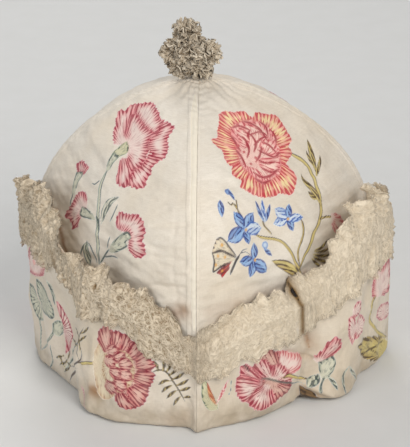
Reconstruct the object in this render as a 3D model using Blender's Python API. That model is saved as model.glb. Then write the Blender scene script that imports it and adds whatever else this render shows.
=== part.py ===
"""A man's house cap of painted silk: a crown of four gores, a turned-up brim of four pieces
that the crown stands in, a gathered lace edging along the brim and a lace tuft at the apex.

Metres, +Z up. The cap stands on its hem at z = 0, with its front seam towards -Y and the
wearer's left hand towards +X. The origin is the middle of its box, on the surface it rests on.
An azimuth is measured from the front seam, positive towards +X.
"""

import math

import bmesh
import bpy
import numpy as np

MM = 0.001

# Crown: the outer face of its walls
CROWN_HEIGHT = 171 * MM
SHOULDER_HEIGHT = 85 * MM  # where the walls start to curve in
SHOULDER_SHARE = 0.36  # how far up a gore's cloth, from foot to apex, the shoulder lies
DOME_POWER = 1.6  # more pointed than an ellipse's 2
FULLNESS_FOOT = 0.105  # how far a gore bulges past the straight line between its seams
FULLNESS_TOP = 0.170
CROWN_WALL = 1.2 * MM
APEX_HOLE = 3.5 * MM  # radius of the small opening that the tuft's knot closes
SEAM_CLEARANCE = 0.2 * MM  # each gore stands this far off the seam's plane

# The four seams: azimuth in degrees, and the crown's reach in mm at its foot and its shoulder
SEAMS = {
    "front": {"azimuth": 0.0, "foot": 98.5, "shoulder": 101.0},
    "right": {"azimuth": 90.0, "foot": 101.0, "shoulder": 98.5},
    "back": {"azimuth": 180.0, "foot": 98.5, "shoulder": 101.0},
    "left": {"azimuth": 270.0, "foot": 91.5, "shoulder": 95.0},
}

# Brim: one folded layer of lined silk, with a hem that passes under the crown's foot
BRIM_WALL = 1.7 * MM
HEM_ROUND = 2.4 * MM
TOE_REACH = 3.0 * MM  # how far the hem passes inside the crown's outer face
REST_GAP = 0.3 * MM

# Lace: a gathered band sewn on outside the brim's edge, free above and below it
LACE_WALL = 1.2 * MM
LACE_STAND_OFF = 0.7 * MM
LACE_FLUTES = 8  # in each length of lace
FLUTE_DEPTH_BELOW = 2.2 * MM
FLUTE_DEPTH_FRONT = 1.6 * MM
FLUTE_DEPTH_SIDES = 5.0 * MM  # the free upper part is looser where the brim stands high
LACE_LEAN = 0.38  # how far the free upper part leans in towards the crown, per unit of rise

# Tuft: a knot on the apex, a round core that leans to the right side, and gathered petals
KNOT_RADIUS = 5.5 * MM
KNOT_HEIGHT = 7 * MM
CORE_CENTRE = (-5.0, 0.0, 184.5)
CORE_RADII = (12.0, 11.5, 12.4)
PETAL_ROOT = (-4.5, 0.0, 179.0)
PETAL_WALL = 2.8 * MM

# One row for each section or fold of the brim, in mm: its azimuth in degrees, the reach of its
# foot, of its belly at half height and of its edge, the edge's height, the hem's lift off the
# surface, and how far the lace rises above and drops below the edge
BRIM_COLUMNS = ("azimuth", "foot", "belly", "edge", "height", "lift", "rise", "drop")
BRIM_SECTIONS = {
    ("front", "right"): (
        (0, 106.5, 106.5, 105.5, 49, 0.0, 15, 18),
        (5, 101.0, 103.5, 103.0, 48, 0.0, 21, 16),
        (19, 95.8, 99.5, 101.0, 61, 0.0, 19, 18),
        (35, 89.5, 95.0, 97.0, 66, 0.6, 19, 21),
        (41.5, 89.8, 92.7, 94.0, 68, 3.6, 25, 20),
        (46, 99.5, 98.5, 98.5, 76, 2.2, 21, 22),
        (55, 104.0, 104.0, 103.0, 90, 0.0, 26, 28),
        (69, 100.0, 105.5, 105.5, 97, 0.0, 22, 31),
        (80, 106.5, 109.0, 108.0, 95, 0.0, 19, 26),
        (90, 112.5, 112.0, 110.0, 91, 0.0, 15, 19),
    ),
    ("right", "back"): (
        (90, 112.5, 112.0, 110.0, 91, 0.0, 15, 19),
        (104, 105.0, 107.5, 107.0, 83, 0.0, 13, 20),
        (123, 98.0, 102.5, 103.0, 72, 0.0, 15, 20),
        (141, 96.0, 100.5, 101.5, 62, 0.0, 17, 19),
        (161, 100.5, 103.0, 103.0, 55, 0.0, 18, 18),
        (180, 106.5, 106.5, 105.5, 51, 0.0, 15, 18),
    ),
    ("back", "left"): (
        (180, 106.5, 106.5, 105.5, 51, 0.0, 15, 18),
        (200, 99.5, 102.5, 103.0, 56, 0.0, 18, 18),
        (219, 94.0, 98.5, 100.0, 63, 0.0, 15, 19),
        (237, 92.0, 96.5, 98.5, 74, 0.0, 17, 20),
        (255, 93.5, 97.5, 100.0, 85, 0.0, 13, 21),
        (270, 98.5, 99.5, 101.5, 93, 0.0, 14, 21),
    ),
    ("left", "front"): (
        (270, 98.5, 99.5, 101.5, 93, 0.0, 14, 21),
        (280, 96.0, 98.0, 100.5, 99, 0.0, 18, 23),
        (291, 91.5, 96.0, 99.5, 101, 0.0, 20, 25),
        (303, 89.5, 94.5, 98.5, 98, 0.0, 25, 24),
        (313, 92.5, 95.0, 98.0, 88, 0.0, 15, 14),
        (321.5, 102.0, 101.0, 101.0, 80, 0.4, 13, 23),
        (333, 104.0, 103.5, 103.0, 74, 0.0, 16, 13),
        (346, 101.0, 103.5, 103.5, 63, 0.0, 16, 17),
        (357, 100.0, 103.0, 103.0, 52, 0.0, 10, 17),
        (360, 106.5, 106.5, 105.5, 49, 0.0, 15, 18),
    ),
}
BRIM_ACROSS = 18

# One row for each petal of the tuft: the azimuth it leans to and its lean from upright in
# degrees, and its length and width in mm
PETAL_COLUMNS = ("azimuth", "lean", "length", "width")
PETALS = (
    (300, 11, 28, 22),
    (190, 16, 25, 21),
    (275, 62, 18, 21),
    (315, 80, 15, 19),
    (4, 62, 16, 19),
    (50, 84, 13, 18),
    (88, 54, 17, 19),
    (135, 74, 15, 19),
    (182, 60, 16, 19),
    (230, 78, 16, 19),
)

SILK = ((0.80, 0.72, 0.62, 1.0), 0.5)
BRIM_SILK = ((0.78, 0.71, 0.61, 1.0), 0.55)
LACE = ((0.62, 0.55, 0.45, 1.0), 0.85)


def clear_scene():
    for thing in list(bpy.data.objects):
        bpy.data.objects.remove(thing)


def finish(name, colour_and_roughness):
    """A Principled material of one colour and roughness."""
    colour, roughness = colour_and_roughness
    made = bpy.data.materials.new(name)
    made.use_nodes = True
    shader = made.node_tree.nodes["Principled BSDF"]
    shader.inputs["Base Color"].default_value = colour
    shader.inputs["Roughness"].default_value = roughness
    shader.inputs["Metallic"].default_value = 0.0
    return made


def outward(azimuth):
    """Unit vectors away from the axis at azimuths in degrees, front first."""
    angle = np.radians(azimuth)
    return np.stack([np.sin(angle), -np.cos(angle), np.zeros_like(angle)], -1)


def smooth_rows(rows, share):
    """A Catmull-Rom curve through rows of values, read at shares from 0 to 1 along it."""
    rows = np.asarray(rows, float)
    padded = np.vstack([2 * rows[0] - rows[1], rows, 2 * rows[-1] - rows[-2]])
    place = np.clip(share, 0, 1) * (len(rows) - 1)
    start = np.minimum(place.astype(int), len(rows) - 2)
    t = (place - start)[..., None]
    before, here, there, after = (padded[start + k] for k in range(4))
    return 0.5 * (
        2 * here
        + (there - before) * t
        + (2 * before - 5 * here + 4 * there - after) * t**2
        + (3 * here - before - 3 * there + after) * t**3
    )


def cloth_wall(name, across, along, place, material, into):
    """A closed wall of cloth. A grid is given a unit thickness, and place(u, v, w) then puts each
    of its points on the wall, with w = 0 on the outer face and w = 1 on the inner one."""
    form = bmesh.new()
    bmesh.ops.create_grid(form, x_segments=across, y_segments=along, size=0.5)
    bmesh.ops.solidify(form, geom=form.faces[:], thickness=1.0)
    flat = np.array([v.co for v in form.verts])
    placed = place(flat[:, 0] + 0.5, flat[:, 1] + 0.5, -np.round(flat[:, 2]))
    for vertex, point in zip(form.verts, placed):
        vertex.co = point
    mesh = bpy.data.meshes.new(name)
    form.to_mesh(mesh)
    form.free()
    mesh.shade_smooth()
    mesh.materials.append(material)
    wall = bpy.data.objects.new(name, mesh)
    into.objects.link(wall)
    return wall


def crown_meridian(v):
    """Share of the way from the foot's reach to the shoulder's, share of the shoulder's reach that
    the dome leaves, and height, from the crown's foot (v = 0) to its apex (v = 1)."""
    foot = BRIM_WALL + REST_GAP
    low = np.clip(v / SHOULDER_SHARE, 0, 1)
    turn = np.clip((v - SHOULDER_SHARE) / (1 - SHOULDER_SHARE), 0, 1) * (math.pi / 2)
    rise = np.sin(turn)
    dome = np.maximum(1 - rise**2, 0) ** (1 / DOME_POWER)
    height = foot + (SHOULDER_HEIGHT - foot) * low + (CROWN_HEIGHT - SHOULDER_HEIGHT) * rise
    return low * low * (3 - 2 * low), dome, height


def seam_angles(first, second):
    """The azimuths of a piece's two seams, the second above the first."""
    start, end = SEAMS[first]["azimuth"], SEAMS[second]["azimuth"]
    return start, end if end > start else end + 360


def crown_face(first, second, u, v):
    """A point of the outer face of the gore between two seams, u across it and v up it."""
    settled, dome, height = crown_meridian(v)
    sides, reaches = [], []
    for name, angle in zip((first, second), seam_angles(first, second)):
        foot, shoulder = SEAMS[name]["foot"] * MM, SEAMS[name]["shoulder"] * MM
        sides.append(outward(np.full_like(u, angle)))
        reach = (foot + (shoulder - foot) * settled) * dome
        reaches.append(np.maximum(reach, APEX_HOLE)[:, None])
    # Each corner stands off its seam's plane, towards the other seam
    corner_a = sides[0] * reaches[0] + sides[1] * SEAM_CLEARANCE
    corner_b = sides[1] * reaches[1] + sides[0] * SEAM_CLEARANCE
    fullness = FULLNESS_FOOT + (FULLNESS_TOP - FULLNESS_FOOT) * v
    bulge = 4 * u * (1 - u) * fullness * (reaches[0] + reaches[1])[:, 0] / 2
    middle = (sides[0] + sides[1]) / math.sqrt(2)
    point = corner_a * (1 - u[:, None]) + corner_b * u[:, None] + middle * bulge[:, None]
    point[:, 2] = height
    return point


def crown_reach(first, second, azimuth, height):
    """Reach of the crown's outer face at azimuths of one gore and at heights, found by halving."""
    steps = np.linspace(0, 1, 201)
    v = np.interp(height, crown_meridian(steps)[2], steps)
    low, high = np.zeros_like(v), np.ones_like(v)
    start = seam_angles(first, second)[0]
    for _ in range(16):
        u = (low + high) / 2
        point = crown_face(first, second, u, v)
        found = np.degrees(np.arctan2(point[:, 0], -point[:, 1]))
        found = start + (found - start + 90) % 360 - 90
        low, high = np.where(found < azimuth, u, low), np.where(found < azimuth, high, u)
    return np.hypot(point[:, 0], point[:, 1])


def meridian_normal(face, u, v, step=0.01):
    """The outward normal of a face within the upright plane through the axis, so that walls that
    meet at a seam keep clear of the seam's plane all through their thickness."""
    below, above = face(u, np.clip(v - step, 0, 1)), face(u, np.clip(v + step, 0, 1))
    here = face(u, v)
    radius = np.hypot(here[:, 0], here[:, 1])
    away = np.stack([here[:, 0] / radius, here[:, 1] / radius], 1)
    run = ((above - below)[:, :2] * away).sum(1)
    climb = (above - below)[:, 2]
    length = np.hypot(run, climb)
    return np.stack(
        [climb / length * away[:, 0], climb / length * away[:, 1], -run / length], 1
    )


def make_gore(first, second, material, into):
    """One crown gore, a wall whose inner face is set in along the meridian's normal."""

    def face(u, v):
        return crown_face(first, second, u, v)

    def place(u, v, w):
        inward = meridian_normal(face, u, v) * (CROWN_WALL * w)[:, None]
        point = face(u, v) - inward
        point[v == 0, 2] = BRIM_WALL + REST_GAP
        return point

    return cloth_wall(f"gore_{first}_{second}", 10, 15, place, material, into)


def brim_section(first, second, u):
    """The brim's section values at shares u from the first seam to the second."""
    rows = np.array(BRIM_SECTIONS[first, second])
    values = smooth_rows(rows, u)
    section = dict(zip(BRIM_COLUMNS, values.T))
    section["lift"] = np.maximum(section["lift"], 0)
    return {k: x if k == "azimuth" else x * MM for k, x in section.items()}


def clear_of_seams(point, first, second):
    """Points of a piece pushed to at least the seam clearance inside its two seam planes."""
    start, end = (outward(np.array(angle)) for angle in seam_angles(first, second))
    for inwards in (end, start):
        push = np.maximum(SEAM_CLEARANCE - point @ inwards, 0)
        point = point + push[:, None] * inwards
    return point


# Places along the brim's section, from the toe under the crown's foot to the edge
TOE, STEP, HEM, ROUND, BELLY, EDGE = 0.0, 0.12, 0.2, 0.3, 0.62, 1.0


def brim_profile(section, crown_foot, v):
    """Reach and height of the brim's outer face along its section: flat from the toe to just
    outside the crown, round the hem, up over the belly and to the edge."""
    foot, lift, height = section["foot"], section["lift"], section["height"]
    flat = np.zeros_like(lift)
    stops = np.array([TOE, STEP, HEM, ROUND, BELLY, EDGE])
    step = np.minimum(crown_foot + 2 * REST_GAP, foot - HEM_ROUND - REST_GAP)
    reach_stops = np.stack(
        [crown_foot - TOE_REACH, step, foot - HEM_ROUND, foot, section["belly"], section["edge"]]
    )
    height_stops = np.stack(
        [flat, flat, lift, lift + HEM_ROUND, (lift + height) / 2, height]
    )
    part = np.clip(np.searchsorted(stops, v, side="right") - 1, 0, len(stops) - 2)
    t = (v - stops[part]) / (stops[part + 1] - stops[part])
    t = np.where(part == 3, 1 - (1 - t) ** 1.4, t)  # the wall leaves the hem steeply
    column = np.arange(len(v))
    reach = reach_stops[part, column] * (1 - t) + reach_stops[part + 1, column] * t
    height = height_stops[part, column] * (1 - t) + height_stops[part + 1, column] * t
    return reach, height


BRIM_ROWS = (TOE, STEP, HEM, ROUND, 0.38, 0.46, 0.54, BELLY, 0.75, 0.88, EDGE)


def brim_row(v):
    """Spreads a grid's even rows over the section, with rows on the hem's corners."""
    return np.interp(v, np.linspace(0, 1, len(BRIM_ROWS)), BRIM_ROWS)


def make_brim(first, second, material, into):
    """One piece of the turned-up brim, from seam to seam."""

    def place(u, v, w):
        section = brim_section(first, second, u)
        along = brim_row(v)
        crown_foot = crown_reach(first, second, section["azimuth"], np.zeros_like(u))
        reach, height = brim_profile(section, crown_foot, along)
        wall = BRIM_WALL * w
        reach = reach - np.where(along > HEM + 0.01, wall, 0)
        height = height + np.where(along < ROUND - 0.01, wall, 0)
        inner_corner = (along > ROUND - 0.01) & (along < ROUND + 0.01)
        height = height + np.where(inner_corner, 0.35 * wall, 0)
        point = outward(section["azimuth"]) * reach[:, None]
        point[:, 2] = height
        return clear_of_seams(point, first, second)

    name = f"brim_{first}_{second}"
    return cloth_wall(name, BRIM_ACROSS, len(BRIM_ROWS) - 1, place, material, into)


def make_lace(first, second, material, into):
    """One length of the lace. Below the sewn line at v = 0.5 it hangs against the brim; above it
    the lace is free, leans in towards the crown and flutes more and more towards its edge."""

    def place(u, v, w):
        section = brim_section(first, second, u)
        azimuth, top = section["azimuth"], section["height"]
        free, hung = np.clip(2 * v - 1, 0, 1), np.clip(1 - 2 * v, 0, 1)
        above, below = free * section["rise"], hung * section["drop"]
        height = top + above - below
        down = np.clip(2 * below / (top - section["lift"]), 0, 1)
        brim_reach = section["edge"] + (section["belly"] - section["edge"]) * down
        sides = np.clip((top - 55 * MM) / (45 * MM), 0, 1)
        free_depth = FLUTE_DEPTH_FRONT + (FLUTE_DEPTH_SIDES - FLUTE_DEPTH_FRONT) * sides
        depth = free_depth * free + FLUTE_DEPTH_BELOW * hung
        swing = np.sin(2 * math.pi * (LACE_FLUTES * u + 0.3 * np.sin(9 * u + 2 * v)))
        depth = depth * (0.6 + swing) * np.minimum(1, 12 * u * (1 - u))
        off = LACE_STAND_OFF + LACE_WALL
        crown = crown_reach(first, second, azimuth, height)
        least = np.maximum(crown, np.where(above > 0, 0, brim_reach)) + off
        reach = np.maximum(brim_reach + off + depth - LACE_LEAN * above, least)
        point = outward(azimuth) * (reach - LACE_WALL * w)[:, None]
        point[:, 2] = height
        return clear_of_seams(point, first, second)

    return cloth_wall(f"lace_{first}_{second}", 4 * LACE_FLUTES, 4, place, material, into)


def join_with(base, other):
    """A Boolean union of another object into base, which is then removed."""
    union = base.modifiers.new("union", "BOOLEAN")
    union.operation = "UNION"
    union.solver = "MANIFOLD"
    union.object = other
    bpy.context.view_layer.update()
    evaluated = base.evaluated_get(bpy.context.evaluated_depsgraph_get())
    mesh = bpy.data.meshes.new_from_object(evaluated)
    base.modifiers.remove(union)
    base.data = mesh
    bpy.data.objects.remove(other)


def make_petal(row, index, material, into):
    """One gathered petal of the tuft: a fan that rises from its root, leans out and flutes."""
    petal = dict(zip(PETAL_COLUMNS, row))
    lean = math.radians(petal["lean"])
    length, width = petal["length"] * MM, petal["width"] * MM
    away = outward(np.array(float(petal["azimuth"])))
    side = np.cross(away, [0.0, 0.0, 1.0])
    flutes = 2.5

    def place(u, v, w):
        turned = lean * (0.7 + 0.4 * v)
        across = 2 * u - 1
        spread = 0.5 * across * width * (0.4 + 0.6 * np.sin(v * math.pi / 2 * 1.25))
        flute = np.sin(2 * math.pi * flutes * u + index) * 1.5 * MM * v
        through = PETAL_WALL * (w - 0.5) + flute - 3.5 * MM * across**2
        rim = length * v * (1 - 0.22 * across**2)
        out = rim * np.sin(turned) + through * np.cos(turned)
        up = rim * np.cos(turned) - through * np.sin(turned)
        point = np.array(PETAL_ROOT) * MM + away * out[:, None] + side * spread[:, None]
        point[:, 2] += up
        return point

    return cloth_wall(f"petal_{index}", 8, 4, place, material, into)


def make_tuft(material, into):
    """The tuft: a knot that seats on the apex, a round core on it and petals, all one body."""
    bpy.ops.mesh.primitive_cone_add(
        vertices=16, radius1=KNOT_RADIUS, radius2=KNOT_RADIUS * 0.8, depth=KNOT_HEIGHT,
        location=(0, 0, CROWN_HEIGHT + REST_GAP + KNOT_HEIGHT / 2),
    )
    tuft = bpy.context.object
    tuft.name = tuft.data.name = "tuft"
    for holder in list(tuft.users_collection):
        holder.objects.unlink(tuft)
    into.objects.link(tuft)
    tuft.data.materials.append(material)
    bpy.ops.mesh.primitive_uv_sphere_add(
        segments=16, ring_count=10, location=[x * MM for x in CORE_CENTRE],
        scale=[x * MM for x in CORE_RADII],
    )
    join_with(tuft, bpy.context.object)
    for index, row in enumerate(PETALS):
        join_with(tuft, make_petal(row, index, material, into))
    return tuft


def centre_on_origin(pieces):
    """Moves every piece's points sideways by one amount, so that the cap's box is centred."""
    points = np.array([v.co for piece in pieces for v in piece.data.vertices])
    middle = (points.min(0) + points.max(0)) / 2
    for piece in pieces:
        for vertex in piece.data.vertices:
            vertex.co.x -= middle[0]
            vertex.co.y -= middle[1]


def main():
    clear_scene()
    cap = bpy.data.collections.new("house_cap")
    bpy.context.scene.collection.children.link(cap)
    silk = finish("painted_silk", SILK)
    brim_silk = finish("brim_silk", BRIM_SILK)
    lace = finish("lace", LACE)
    pieces = [make_tuft(lace, cap)]
    for pair in BRIM_SECTIONS:
        pieces.append(make_gore(*pair, silk, cap))
        pieces.append(make_brim(*pair, brim_silk, cap))
        pieces.append(make_lace(*pair, lace, cap))
    centre_on_origin(pieces)


main()
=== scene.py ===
"""The looks of a man's painted silk house cap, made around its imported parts.

Every surface is a numpy function on a grid of u, across a piece from one seam to the next, and v,
up it. It is worked out in mm from the cap's axis, and turned into metres as its mesh is made.
Azimuths are in degrees from the front seam, positive towards +X.
"""

import math

import bpy
import numpy as np
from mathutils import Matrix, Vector


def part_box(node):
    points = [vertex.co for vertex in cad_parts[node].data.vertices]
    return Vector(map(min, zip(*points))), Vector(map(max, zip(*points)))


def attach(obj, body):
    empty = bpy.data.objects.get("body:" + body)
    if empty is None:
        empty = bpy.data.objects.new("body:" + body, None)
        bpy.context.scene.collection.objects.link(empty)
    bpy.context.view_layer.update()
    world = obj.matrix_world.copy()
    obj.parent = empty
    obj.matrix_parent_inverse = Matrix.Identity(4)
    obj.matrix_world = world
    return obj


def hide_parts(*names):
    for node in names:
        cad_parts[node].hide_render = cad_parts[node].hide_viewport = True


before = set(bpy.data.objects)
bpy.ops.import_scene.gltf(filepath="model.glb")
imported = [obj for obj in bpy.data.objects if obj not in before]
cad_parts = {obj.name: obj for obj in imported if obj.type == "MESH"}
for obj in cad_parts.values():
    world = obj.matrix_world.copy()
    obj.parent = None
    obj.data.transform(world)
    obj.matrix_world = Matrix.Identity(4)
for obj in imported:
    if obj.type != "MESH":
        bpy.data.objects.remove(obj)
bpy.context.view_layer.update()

MM = 0.001
PAIRS = (("front", "right"), ("right", "back"), ("back", "left"), ("left", "front"))

# The crown and brim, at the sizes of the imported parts
CROWN_HEIGHT = 171.0
SHOULDER_HEIGHT = 85.0
SHOULDER_SHARE = 0.36
CROWN_FOOT = 2.0
DOME_POWER = 1.6
FULLNESS_FOOT = 0.105
FULLNESS_TOP = 0.170
CROWN_WALL = 1.2
APEX_HOLE = 2.0
USUAL_REACH = 98.0
SEAM_GAP = 0.05
SEAMS = {
    "front": {"azimuth": 0.0, "foot": 98.5, "shoulder": 101.0},
    "right": {"azimuth": 90.0, "foot": 101.0, "shoulder": 98.5},
    "back": {"azimuth": 180.0, "foot": 98.5, "shoulder": 101.0},
    "left": {"azimuth": 270.0, "foot": 91.5, "shoulder": 95.0},
}
BRIM_WALL = 1.7
HEM_ROUND = 2.4
TOE_REACH = 3.0
BRIM_COLUMNS = ("azimuth", "foot", "belly", "edge", "height", "lift", "rise", "drop")
BRIM_SECTIONS = {
    ("front", "right"): (
        (0, 106.5, 106.5, 105.5, 49, 0.0, 15, 18),
        (5, 101.0, 103.5, 103.0, 48, 0.0, 21, 16),
        (19, 95.8, 99.5, 101.0, 61, 0.0, 19, 18),
        (35, 89.5, 95.0, 97.0, 66, 0.6, 19, 21),
        (41.5, 89.8, 92.7, 94.0, 68, 3.6, 25, 20),
        (46, 99.5, 98.5, 98.5, 76, 2.2, 21, 22),
        (55, 104.0, 104.0, 103.0, 90, 0.0, 26, 28),
        (69, 100.0, 105.5, 105.5, 97, 0.0, 22, 31),
        (80, 106.5, 109.0, 108.0, 95, 0.0, 19, 26),
        (90, 112.5, 112.0, 110.0, 91, 0.0, 15, 19),
    ),
    ("right", "back"): (
        (90, 112.5, 112.0, 110.0, 91, 0.0, 15, 19),
        (104, 105.0, 107.5, 107.0, 83, 0.0, 13, 20),
        (123, 98.0, 102.5, 103.0, 72, 0.0, 15, 20),
        (141, 96.0, 100.5, 101.5, 62, 0.0, 17, 19),
        (161, 100.5, 103.0, 103.0, 55, 0.0, 18, 18),
        (180, 106.5, 106.5, 105.5, 51, 0.0, 15, 18),
    ),
    ("back", "left"): (
        (180, 106.5, 106.5, 105.5, 51, 0.0, 15, 18),
        (200, 99.5, 102.5, 103.0, 56, 0.0, 18, 18),
        (219, 94.0, 98.5, 100.0, 63, 0.0, 15, 19),
        (237, 92.0, 96.5, 98.5, 74, 0.0, 17, 20),
        (255, 93.5, 97.5, 100.0, 85, 0.0, 13, 21),
        (270, 98.5, 99.5, 101.5, 93, 0.0, 14, 21),
    ),
    ("left", "front"): (
        (270, 98.5, 99.5, 101.5, 93, 0.0, 14, 21),
        (280, 96.0, 98.0, 100.5, 99, 0.0, 18, 23),
        (291, 91.5, 96.0, 99.5, 101, 0.0, 20, 25),
        (303, 89.5, 94.5, 98.5, 98, 0.0, 25, 24),
        (313, 92.5, 95.0, 98.0, 88, 0.0, 15, 14),
        (321.5, 102.0, 101.0, 101.0, 80, 0.4, 13, 23),
        (333, 104.0, 103.5, 103.0, 74, 0.0, 16, 13),
        (346, 101.0, 103.5, 103.5, 63, 0.0, 16, 17),
        (357, 100.0, 103.0, 103.0, 52, 0.0, 10, 17),
        (360, 106.5, 106.5, 105.5, 49, 0.0, 15, 18),
    ),
}

# The cap's axis is where the seams of a packed gore meet
PACKED_GAP = 0.2
gore_low, gore_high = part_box("gore_front_right")
AXIS = np.array([gore_low[0] - PACKED_GAP * MM, gore_high[1] + PACKED_GAP * MM, 0.0])


# Shapes


def smooth(low, high, x):
    """0 below low, 1 above high, and an S-curve between."""
    t = np.clip((x - low) / (high - low), 0, 1)
    return t * t * (3 - 2 * t)


def hill(x, width):
    """A bell curve of height 1 and the given half width."""
    return np.exp(-((x / width) ** 2))


def waves(points, size, seed, count=18):
    """Smooth noise of about unit strength: a sum of sine waves in seeded directions, of wave
    lengths around size, over points given in columns."""
    draw = np.random.default_rng(seed)
    total = np.zeros(points.shape[:-1])
    for _ in range(count):
        way = draw.normal(size=points.shape[-1])
        way *= draw.uniform(0.55, 1.7) * 2 * math.pi / size / np.linalg.norm(way)
        total += np.sin(points @ way + draw.uniform(0, 2 * math.pi))
    return total / math.sqrt(count / 2)


def outward(azimuth):
    """Unit vectors away from the axis at azimuths in degrees."""
    angle = np.radians(azimuth)
    return np.stack([np.sin(angle), -np.cos(angle), np.zeros_like(angle)], -1)


def smooth_rows(rows, share):
    """A Catmull-Rom curve through rows of values, read at shares from 0 to 1 along it."""
    rows = np.asarray(rows, float)
    padded = np.vstack([2 * rows[0] - rows[1], rows, 2 * rows[-1] - rows[-2]])
    place = np.clip(share, 0, 1) * (len(rows) - 1)
    start = np.minimum(place.astype(int), len(rows) - 2)
    t = (place - start)[..., None]
    before, here, there, after = (padded[start + k] for k in range(4))
    return 0.5 * (
        2 * here
        + (there - before) * t
        + (2 * before - 5 * here + 4 * there - after) * t**2
        + (3 * here - before - 3 * there + after) * t**3
    )


def seam_angles(first, second):
    """The azimuths of a piece's two seams, the second above the first."""
    start, end = SEAMS[first]["azimuth"], SEAMS[second]["azimuth"]
    return start, end if end > start else end + 360


def crown_meridian(v):
    """Share of the way from the foot's reach to the shoulder's, the dome's share of the reach, and
    height in mm: straight up to the shoulder, then a quarter of a superellipse."""
    low = np.clip(v / SHOULDER_SHARE, 0, 1)
    rise = np.sin(np.clip((v - SHOULDER_SHARE) / (1 - SHOULDER_SHARE), 0, 1) * math.pi / 2)
    dome = np.maximum(1 - rise**2, 0) ** (1 / DOME_POWER)
    height = CROWN_FOOT + (SHOULDER_HEIGHT - CROWN_FOOT) * low
    return low * low * (3 - 2 * low), dome, height + (CROWN_HEIGHT - SHOULDER_HEIGHT) * rise


def crown_face(first, second, u, v):
    """A gore's outer face in mm from the axis: the straight line between its two seams at each
    height, pushed out in the middle by a parabola."""
    settled, dome, height = crown_meridian(v)
    sides, reaches = [], []
    for name, angle in zip((first, second), seam_angles(first, second)):
        foot, shoulder = SEAMS[name]["foot"], SEAMS[name]["shoulder"]
        sides.append(outward(np.full_like(u, angle)))
        reach = (foot + (shoulder - foot) * settled) * dome
        reaches.append(np.maximum(reach, APEX_HOLE)[..., None])
    corner_a = sides[0] * reaches[0] + sides[1] * SEAM_GAP
    corner_b = sides[1] * reaches[1] + sides[0] * SEAM_GAP
    fullness = FULLNESS_FOOT + (FULLNESS_TOP - FULLNESS_FOOT) * v
    bulge = 4 * u * (1 - u) * fullness * (reaches[0] + reaches[1])[..., 0] / 2
    middle = (sides[0] + sides[1]) / math.sqrt(2)
    point = corner_a * (1 - u[..., None]) + corner_b * u[..., None] + middle * bulge[..., None]
    point[..., 2] = height
    return point


def azimuth_of(point, start):
    """Azimuths of points in degrees, counted on from a piece's first seam."""
    found = np.degrees(np.arctan2(point[..., 0], -point[..., 1]))
    return start + (found - start + 90) % 360 - 90


def crown_reach(first, second, azimuth, height):
    """Reach of the crown's outer face at azimuths and heights, found by halving u."""
    steps = np.linspace(0, 1, 201)
    v = np.interp(height, crown_meridian(steps)[2], steps)
    low, high = np.zeros_like(v), np.ones_like(v)
    start = seam_angles(first, second)[0]
    for _ in range(14):
        u = (low + high) / 2
        point = crown_face(first, second, u, v)
        found = azimuth_of(point, start)
        low, high = np.where(found < azimuth, u, low), np.where(found < azimuth, high, u)
    return np.hypot(point[..., 0], point[..., 1])


def normals(grid):
    """Unit normals of a grid of points (rows up, columns across) that face out of the cap."""
    across = np.gradient(grid, axis=1)
    along = np.gradient(grid, axis=0)
    normal = np.cross(across, along)
    return normal / np.maximum(np.linalg.norm(normal, axis=-1, keepdims=True), 1e-12)


def uneven(count, density):
    """count + 1 places from 0 to 1, closer together where density(place) is high."""
    fine = np.linspace(0, 1, 801)
    run = np.concatenate([[0], np.cumsum(density((fine[1:] + fine[:-1]) / 2))])
    return np.interp(np.linspace(0, 1, count + 1), run / run[-1], fine)


def chart_of(grid, first, second, up):
    """Where each point lies on the cloth, in mm: across from the piece's middle, as the azimuth
    from there times the reach, and up, as given."""
    start, end = seam_angles(first, second)
    turn = np.radians(azimuth_of(grid, start) - (start + end) / 2)
    return np.stack([turn * np.hypot(grid[..., 0], grid[..., 1]), up], -1)


def meridian_length(v):
    """Length in mm of a gore's middle line from the foot up to v."""
    steps = np.linspace(0, 1, 801)
    _, dome, height = crown_meridian(steps)
    run = np.hypot(np.diff(USUAL_REACH * dome), np.diff(height))
    return np.interp(v, steps, np.concatenate([[0], np.cumsum(run)]))


def fold_lines(chart, rows):
    """Heights in mm of creases: each row is a line on the cloth from (x0, y0) to (x1, y1) in mm, a
    depth and a width, and the cloth rises by depth on the line and falls off as a bell curve."""
    total = np.zeros(chart.shape[:-1])
    for x0, y0, x1, y1, depth, width in rows:
        start, way = np.array([x0, y0]), np.array([x1 - x0, y1 - y0], float)
        length = np.linalg.norm(way)
        along = (chart - start) @ way / length**2
        off = (chart - start) @ np.array([-way[1], way[0]]) / length
        ends = smooth(-0.12, 0.18, along) * smooth(1.12, 0.82, along)
        total += depth * ends * hill(off, width)
    return total


def line_points(rows, count):
    """A smooth curve of count points through rows of points."""
    return smooth_rows(rows, np.linspace(0, 1, count))


# Crown

SEAM_LAP = 4.0
SEAM_STEP = 0.35

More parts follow.
